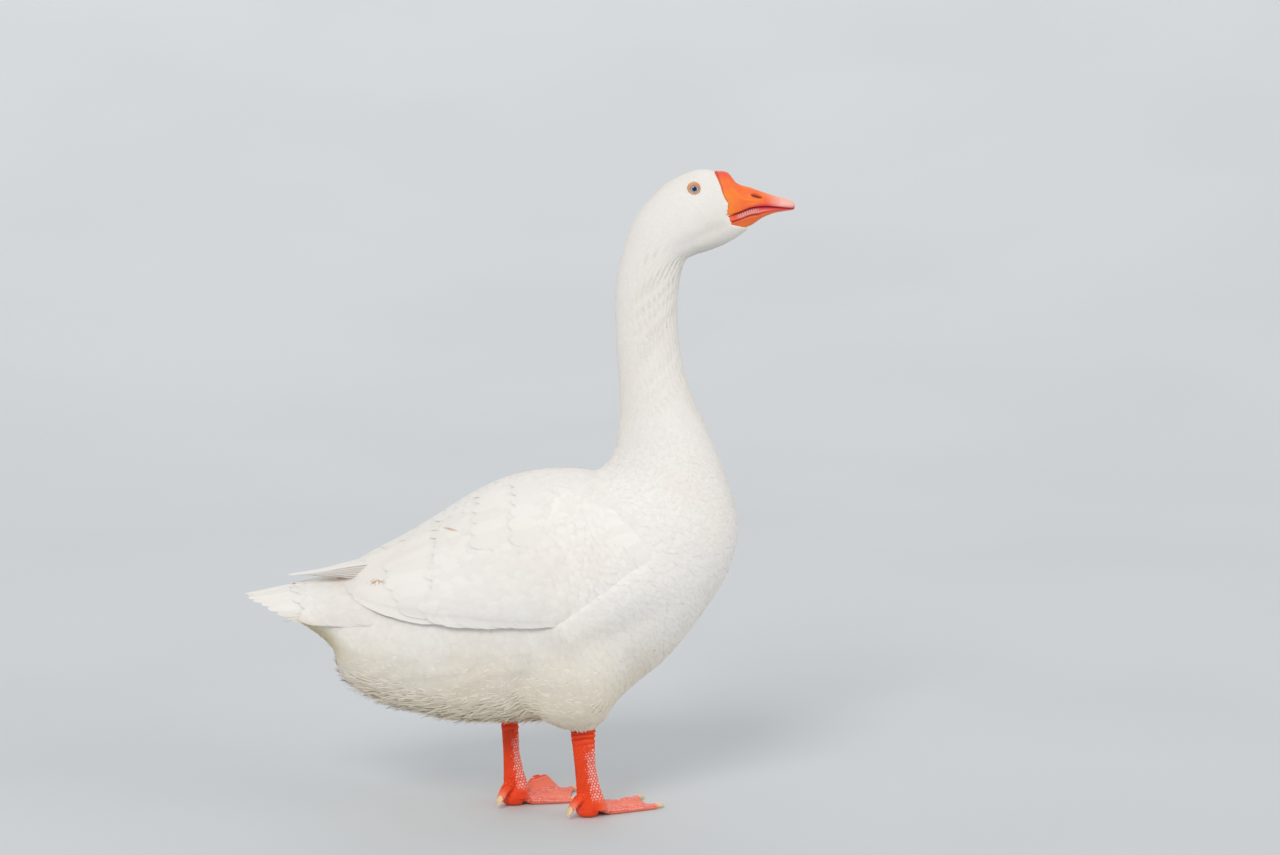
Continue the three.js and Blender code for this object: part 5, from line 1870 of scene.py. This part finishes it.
def leg_middle(name, z):
    """Middle of a leg at heights: x, y and half length along X."""
    leg = LEGS[name]
    x = np.interp(z, [ANKLE_HEIGHT - 5, LEG_TOP], [leg["ankle"][0], leg["hock"][0]])
    y = np.interp(z, [ANKLE_HEIGHT - 5, LEG_TOP], [leg["ankle"][1], leg["hock"][1]])
    return (x + np.interp(z, LEG_HEIGHTS, LEG_FORWARD), y,
            leg["depth"] * np.interp(z, LEG_HEIGHTS, LEG_SHARES[name]))


def nearest_toe(leg, x, y):
    """Places along and across the toe whose line is nearest, and the distance from it."""
    best = np.full(len(x), 99.0)
    along, across = np.zeros(len(x)), np.zeros(len(x))
    dx, dy = x - leg["ankle"][0], y - leg["ankle"][1]
    for toe in TOES.values():
        turn = toe_turn(leg, toe)
        forward = dx * np.cos(turn) + dy * np.sin(turn)
        sideways = -dx * np.sin(turn) + dy * np.cos(turn)
        beside = np.abs(sideways) + 99 * (forward < 0)
        along = np.where(beside < best, forward, along)
        across = np.where(beside < best, sideways, across)
        best = np.minimum(best, beside)
    return along, across, best


def scales(points, name):
    """How far the scales stand out over a foot: round scales on the leg, folds at the hock, smaller
    scales on the toes, and tiny grains on the webs. Also masks of the painted shade in the gaps between
    them and in the hock's folds, of the painted highlights on the crowns of the scales in front and on
    the toes, and of the webs."""
    leg = LEGS[name]
    x, y, z = points.T
    middle_x, middle_y, _ = leg_middle(name, z)
    round_leg = np.arctan2(y - middle_y, x - middle_x)
    around = round_leg * CELLS_ROUND * LEG_CELL / (2 * np.pi)
    on_leg, leg_draw = cell_domes(around + 0.5 * np.sin(z / 6), z + 0.6 * np.sin(round_leg * 3), LEG_CELL)
    along, across, best = nearest_toe(leg, x, y)
    on_toes, toe_draw = cell_domes(along + 0.4 * np.sin(across), 1.15 * across + 0.8 * z, TOE_CELL)
    grains, _ = cell_domes(x * 0.9 + 0.4 * y + np.sin(y / 4), y - 0.3 * x + np.sin(x / 5), WEB_GRAIN)
    on_toe = smooth(8.0, 5.5, best) * smooth(1.5, 3.5, z) * smooth(3, 0, z - 10 - 9 * smooth(34, 0, along))
    high = smooth(15, 26, z)
    dome = mix(mix(grains, on_toes, on_toe), on_leg, high)
    height = mix(0.3 + 0.3 * on_toe, 0.8, high) * (dome - 0.5) * smooth(0.4, 2.0, z)
    fold = np.sin(2 * np.pi * z / 6.2 + 1.1 * np.sin(1.6 * round_leg) + 0.8 * np.sin(z / 4))
    hock = smooth(80, 92, z)
    height = height * (1 - 0.6 * hock) + 0.8 * hock * fold
    facing = np.cos(round_leg)
    # Painted highlights: pale crowns of the scales on the front of the lower leg and on the tops of the toes,
    # varied scale by scale.
    many = smooth(-0.15, 1.0, facing) * smooth(100, 58, z)
    front = smooth(-0.35, 0.4, many - 0.75 * leg_draw) * mix(0.6, 1.0, many) * high * (1 - hock)
    front = front * smooth(-0.3, 0.2, facing)
    crown = smooth(0.35, 0.7, dome)
    toes = on_toe * (1 - high) * smooth(8, 22, along) * mix(0.45, 1.0, toe_draw)
    pale = crown * np.maximum(front * mix(1.0, 0.55, leg_draw), toes)
    # Painted shade in the gaps between the scales and in the grooves of the hock's folds.
    gap = smooth(0.45, 0.1, dome) * np.maximum(high * (1 - hock), 0.5 * on_toe)
    gap = gap + 0.7 * hock * smooth(-0.1, -0.9, fold)
    web = (1 - on_toe) * (1 - high) * smooth(14, 26, np.hypot(x - leg["ankle"][0], y - leg["ankle"][1]))
    return height, dict(gap=gap, pale=pale, web=web)


def build_foot(key, name):
    """A bare leg and webbed foot in one skin: leg, barrel of the ankle, toes and webs as closed
    tubes, fused by a fine remesh, smoothed, then covered with scales along the normals."""
    leg = LEGS[name]
    z = np.linspace(LEG_TOP, ANKLE_HEIGHT - 5, 60)
    middle_x, middle_y, along = leg_middle(name, z)
    swell = 1.6 * smooth(88, 108, z) + 2.2 * smooth(38, 10, z)
    parts = [tube(level_rings(np.stack([middle_x, middle_y, z], -1), along, LEG_HALF_WIDTH + swell, 48))]
    tilt = np.linspace(-np.pi / 2, np.pi / 2, 30)
    knob = np.stack([np.full(30, leg["ankle"][0]), np.full(30, leg["ankle"][1]),
                     ANKLE_HEIGHT - 3.5 + 9.7 * np.sin(tilt)], -1)
    barrel = np.cos(tilt) ** 0.55
    parts.append(tube(level_rings(knob, 13.6 * barrel + 0.01, 10.4 * barrel + 0.01, 40)))
    parts += [tube(toe_rings(leg, toe)) for toe in TOES.values()]
    parts += [tube(web_rings(leg, TOES["middle"], TOES[other])) for other in ("inner", "outer")]
    mesh = with_modifiers(build_mesh(key, *joined(parts)),
                          ("REMESH", dict(mode="VOXEL", voxel_size=FOOT_VOXEL * MM)),
                          ("SMOOTH", dict(factor=0.5, iterations=12)))
    points, normals = read_mesh(mesh)
    height, masks = scales(points, name)
    points = points + normals * height[:, None]
    points[:, 2] = np.maximum(points[:, 2], 0)
    mesh.vertices.foreach_set("co", to_metres(points).astype(np.float32).ravel())
    set_marks(mesh, {mask: np.clip(values, 0, 1) for mask, values in masks.items()})
    mesh.shade_smooth()
    mesh.update()
    mesh.name = key
    return mesh


def claw_rings(leg, toe):
    """A claw: round sections that shrink to a blunt end. Those of the front toes bend down to the
    floor, and the hind one hangs clear of it."""
    (centre,), (radius,), _ = toe_at(leg, toe, np.array([1.0]))
    turn = toe_turn(leg, toe)
    t = np.linspace(-0.3, 1, 40)
    share = np.clip(t, 0, 1)
    is_hind = toe is TOES["hind"]
    blunt = np.sqrt(np.clip(1 - (np.maximum(share - 0.82, 0) / 0.185) ** 2, 0.04, 1))
    size = mix(radius * 0.84, radius * 0.5, share ** 1.3) * np.where(t < 0, 0.92, 1) * blunt
    reach = -0.6 + (4.4 if is_hind else 0.85 * toe["claw"]) * t
    low = 5.2 if is_hind else np.maximum(size, 1.4) + 0.05
    height = np.maximum(size + 0.02, mix(centre[2] + 0.2, low, share ** (1.1 if is_hind else 1.7)))
    angle = round_turn(28)
    across = size[:, None] * 0.95 * np.cos(angle)
    up = size[:, None] * np.sin(angle) * np.where(np.sin(angle) < 0, 0.75, 1)
    return np.stack([centre[0] + reach[:, None] * np.cos(turn) - across * np.sin(turn),
                     centre[1] + reach[:, None] * np.sin(turn) + across * np.cos(turn),
                     height[:, None] + up], axis=-1)


def add_legs():
    """Both bare legs with their feet, and a claw on each toe."""
    look = materials()
    for name, leg in LEGS.items():
        key = "leg_and_foot_" + name
        add_piece(key, build_foot(key, name), look["leg"], "leg_skin", "leg_" + name, "foot_" + name)
        for toe_name, toe in TOES.items():
            key = f"claw_{name}_{toe_name}"
            claw = build_mesh(key, *tube(claw_rings(leg, toe)))
            add_piece("horn_" + key, claw, look["claw"], "claw_horn", key)


# ---- Stage ----

CAMERA_PLACE = (0.1378, -3.370, 0.8669)
CAMERA_PITCH = 82.787
FLOOR_FLAT = 2.0  # the floor is flat so far out, in metres, and rises beyond
FLOOR_END = 7.5
# Lamps: name, the side they shine from, strength, softness in degrees and tint.
LAMPS = (
    ("key", (-0.8, -2.8, 2.5), 1.08, 20, (1.0, 0.975, 0.95)),
    ("fill", (3.0, -1.6, 0.9), 1.08, 50, (1.0, 0.98, 0.96)),
    ("back", (-0.6, 2.8, 2.4), 0.32, 50, (1.0, 0.99, 0.98)),
)
LAMP_AIM = Vector((0, 0, 0.35))


def add_floor(colours):
    """A round pale floor just under the feet that rises into a low bowl far out."""
    angle = round_turn(96)
    radius = np.concatenate([[0.0005, 0.6, 1.4], np.linspace(FLOOR_FLAT, FLOOR_END, 24)])[:, None]
    height = 0.07 * np.maximum(radius - FLOOR_FLAT, 0) ** 2 - 0.0006 + 0 * angle
    rings = np.stack([radius * np.cos(angle), radius * np.sin(angle), height], -1)
    under = rings[::-1] - np.array([0, 0, 0.01])
    points, quads, tris = tube(np.concatenate([rings, under]) / MM)
    floor = bpy.data.objects.new("floor", build_mesh("floor", points, quads, tris))
    bpy.context.scene.collection.objects.link(floor)
    material, n, surface = new_material("stage_floor", Roughness=0.9, **{"Specular IOR Level": 0.1})
    cloud = n.ramp(n.noise(n.place(), 1.3, 2.0), 0.3, 0.7)
    colour = n.blend(cloud, tuple(colours.floor), tuple(c * 0.97 for c in colours.floor))
    n.tree.links.new(colour, surface["Base Color"])
    floor.data.materials.append(material)


def add_world(colours):
    """Soft even light, with the backdrop where a ray from the camera passes the floor."""
    world = bpy.data.worlds.new("studio")
    world.use_nodes = True
    n = Nodes(world.node_tree)
    world.node_tree.nodes.clear()
    path = n.add("ShaderNodeLightPath").outputs
    seen = n.math("MAXIMUM", n.math("MAXIMUM", path["Is Camera Ray"], path["Is Glossy Ray"]),
                  path["Is Transmission Ray"])
    colour = n.blend(seen, (0.98, 0.99, 1.0, 1.0), tuple(colours.backdrop))
    strength = n.math("ADD", n.times(seen, 0.37), 0.63)
    background = n.add("ShaderNodeBackground", {"Color": colour, "Strength": strength})
    n.add("ShaderNodeOutputWorld", {"Surface": background.outputs[0]})
    bpy.context.scene.world = world


def add_lamps():
    """Soft suns from the right side and above, from in front and, weaker, from the left side."""
    for name, place, strength, softness, tint in LAMPS:
        lamp = bpy.data.lights.new(name, "SUN")
        lamp.energy = strength
        lamp.angle = np.radians(softness)
        lamp.color = tint
        holder = bpy.data.objects.new(name, lamp)
        holder.location = place
        holder.rotation_euler = (LAMP_AIM - Vector(place)).to_track_quat("-Z", "Y").to_euler()
        bpy.context.scene.collection.objects.link(holder)


def add_camera(lens):
    """The camera, a little higher than the head and looking a little down."""
    scene = bpy.context.scene
    camera_data = bpy.data.cameras.new("camera")
    camera_data.lens = lens
    camera_data.sensor_width = 36
    camera = bpy.data.objects.new("camera", camera_data)
    camera.location = CAMERA_PLACE
    camera.rotation_euler = (np.radians(CAMERA_PITCH), 0, 0)
    scene.collection.objects.link(camera)
    scene.camera = camera
    scene.view_settings.view_transform = "Standard"


# ---- Add-on ----

def colour_property(name, description, code):
    """A colour whose default is six hex digits."""
    return FloatVectorProperty(name=name, description=description, default=linear(code), size=4,
                               subtype="COLOR", min=0, max=1)


class GooseColours(PropertyGroup):
    """Colours of the goose and its stage."""
    white: colour_property("White", "Plumage above", "F7F3EE")
    ivory: colour_property("Ivory", "Soft clouds in the plumage", "F4ECE0")
    # Belly: partly its own creamy soiling, partly painted shade.
    belly: colour_property("Belly", "Plumage low on the belly", "EFE3CC")
    # Painted shade under the tail and between the legs.
    shade: colour_property("Shade", "Plumage under the tail and between the legs", "C8B88C")
    # Painted shade in the grooves of the neck.
    furrow: colour_property("Furrow", "Grooves of the neck", "CFC5B6")
    stain: colour_property("Stain", "Small rusty marks on the wing", "C48B5C")
    bill: colour_property("Bill", "Horn of the bill", "FF7A34")
    bill_deep: colour_property("Bill, deep", "Clouds in the bill", "F8602C")
    bill_yellow: colour_property("Bill, yellow", "Base of the bill and the fold at the nostril", "FF8F28")
    bill_red: colour_property("Bill, red", "Edge of the mouth", "E23A50")
    # Painted shade in the nostrils, the cracks, the mouth's seam and along the feather edge.
    bill_painted_shade: colour_property("Bill, dark", "Nostrils and cracks", "7E1018")
    comb: colour_property("Comb", "Ridges along the edge of the upper bill", "F3D6C8")
    nail: colour_property("Nail", "Tip of the bill", "FBBDB0")
    lid: colour_property("Lid", "Bare ring round the eye", "E0925A")
    lid_pale: colour_property("Lid, pale", "Clouds in the lid", "EDB48C")
    lid_inner: colour_property("Lid, inner edge", "Inner edge of the ring round the eye", "8A5038")
    lid_under: colour_property("Lid, lower", "Lower half of the ring round the eye", "E3C2A6")
    iris: colour_property("Iris", "Iris", "86A0C6")
    iris_pale: colour_property("Iris, pale", "Rays of the iris", "B4C4DC")
    pupil: colour_property("Pupil", "Pupil and the rim of the iris", "0B1024")
    leg: colour_property("Leg", "Scaled skin", "FB4E1C")
    leg_deep: colour_property("Leg, deep", "Clouds in the scaled skin", "E03C22")
    # Painted shade in the gaps between the scales and the folds of the hock.
    leg_painted_shade: colour_property("Leg, gaps", "Gaps between the scales", "B8260F")
    # Painted highlights on the crowns of the front scales and the toes.
    leg_painted_highlight: colour_property("Leg, pale", "Pale scales on the front of the legs and the toes", "FFD6CE")
    web: colour_property("Web", "Skin between the toes", "FB9070")
    claw: colour_property("Claw", "Claws", "EFD3A4")
    claw_dark: colour_property("Claw, dark", "Clouds in the claws", "D6AE80")
    floor: colour_property("Floor", "Floor", "D4D8DB")
    backdrop: colour_property("Backdrop", "What shows past the floor", "D5DADE")


class GooseSizes(PropertyGroup):
    """Sizes that a user may change."""
    seed: IntProperty(name="Seed", description="Start of all random draws", default=41, min=0)
    eye_opening: FloatProperty(name="Eye opening", description="Width of the eye between its lids",
                               default=9.0 * MM, min=8 * MM, max=11 * MM, precision=4, unit="LENGTH")
    fluff: FloatProperty(name="Fluff", description="How far the down of the belly stands out", default=1.0,
                         min=0.0, max=1.5)
    lens: FloatProperty(name="Lens", description="Focal length of the camera", default=85.0, min=20.0,
                        max=300.0, unit="CAMERA")


class GOOSE_OT_skin(Operator):
    """Build the skin that the coat lies on"""
    bl_idname = "goose.skin"
    bl_label = "Skin"

    def execute(self, context):
        add_piece("goose_skin", build_skin(), materials()["skin"], "plumage", "trunk", "neck_lower",
                  "neck_upper", "head", "thigh_left", "thigh_right")
        return {"FINISHED"}


class GOOSE_OT_body_coat(Operator):
    """Build the coat of the head, neck and body"""
    bl_idname = "goose.body_coat"
    bl_label = "Body coat"

    def execute(self, context):
        add_body_coat(context.scene.goose_sizes.seed)
        return {"FINISHED"}


class GOOSE_OT_thigh_coats(Operator):
    """Build the feathers of the thighs"""
    bl_idname = "goose.thigh_coats"
    bl_label = "Thigh coats"

    def execute(self, context):
        for n, name in enumerate(LEGS):
            add_thigh_coat(name, context.scene.goose_sizes.seed + 20 + n)
        return {"FINISHED"}


class GOOSE_OT_wings(Operator):
    """Build the folded wings and their tips"""
    bl_idname = "goose.wings"
    bl_label = "Wings"

    def execute(self, context):
        for n, (name, leg) in enumerate(LEGS.items()):
            add_wing(name, leg["side"], context.scene.goose_sizes.seed + 30 + n)
            add_primaries(name, leg["side"], context.scene.goose_sizes.seed + 40 + n)
        return {"FINISHED"}


class GOOSE_OT_mantle(Operator):
    """Build the feathers of the back between the wings"""
    bl_idname = "goose.mantle"
    bl_label = "Mantle"

    def execute(self, context):
        add_mantle(context.scene.goose_sizes.seed + 60)
        return {"FINISHED"}


class GOOSE_OT_tail(Operator):
    """Build the tail fan and its coverts"""
    bl_idname = "goose.tail"
    bl_label = "Tail"

    def execute(self, context):
        add_tail(context.scene.goose_sizes.seed + 50)
        return {"FINISHED"}


class GOOSE_OT_bill(Operator):
    """Build the bill"""
    bl_idname = "goose.bill"
    bl_label = "Bill"

    def execute(self, context):
        add_bill()
        return {"FINISHED"}


class GOOSE_OT_eyes(Operator):
    """Build the eyes and their lids"""
    bl_idname = "goose.eyes"
    bl_label = "Eyes"

    def execute(self, context):
        add_eyes()
        return {"FINISHED"}


class GOOSE_OT_legs(Operator):
    """Build the bare legs, webbed feet and claws"""
    bl_idname = "goose.legs"
    bl_label = "Legs and feet"

    def execute(self, context):
        add_legs()
        return {"FINISHED"}


class GOOSE_OT_stage(Operator):
    """Build the floor, the lights and the camera"""
    bl_idname = "goose.stage"
    bl_label = "Stage"

    def execute(self, context):
        add_floor(context.scene.goose_colours)
        add_world(context.scene.goose_colours)
        add_lamps()
        add_camera(context.scene.goose_sizes.lens)
        return {"FINISHED"}


OPERATORS = (GOOSE_OT_skin, GOOSE_OT_body_coat, GOOSE_OT_thigh_coats, GOOSE_OT_wings,
             GOOSE_OT_mantle, GOOSE_OT_tail, GOOSE_OT_bill, GOOSE_OT_eyes, GOOSE_OT_legs,
             GOOSE_OT_stage)


class GOOSE_PT_panel(Panel):
    """Lists the pieces and their colours"""
    bl_label = "Standing Goose"
    bl_idname = "GOOSE_PT_panel"
    bl_space_type = "VIEW_3D"
    bl_region_type = "UI"
    bl_category = "Goose"

    def draw(self, context):
        for operator in OPERATORS:
            self.layout.operator(operator.bl_idname)
        for group in (context.scene.goose_sizes, context.scene.goose_colours):
            for key in group.bl_rna.properties.keys():
                if key not in ("rna_type", "name"):
                    self.layout.prop(group, key)


CLASSES = (GooseColours, GooseSizes, *OPERATORS, GOOSE_PT_panel)


def register():
    """Adds the classes and the settings they use."""
    for cls in CLASSES:
        bpy.utils.register_class(cls)
    bpy.types.Scene.goose_colours = PointerProperty(type=GooseColours)
    bpy.types.Scene.goose_sizes = PointerProperty(type=GooseSizes)


def unregister():
    """Takes them away again."""
    del bpy.types.Scene.goose_sizes
    del bpy.types.Scene.goose_colours
    for cls in reversed(CLASSES):
        bpy.utils.unregister_class(cls)


def main():
    """Builds every piece."""
    register()
    for operator in OPERATORS:
        group, name = operator.bl_idname.split(".")
        getattr(getattr(bpy.ops, group), name)()


if __name__ == "__main__":
    main()
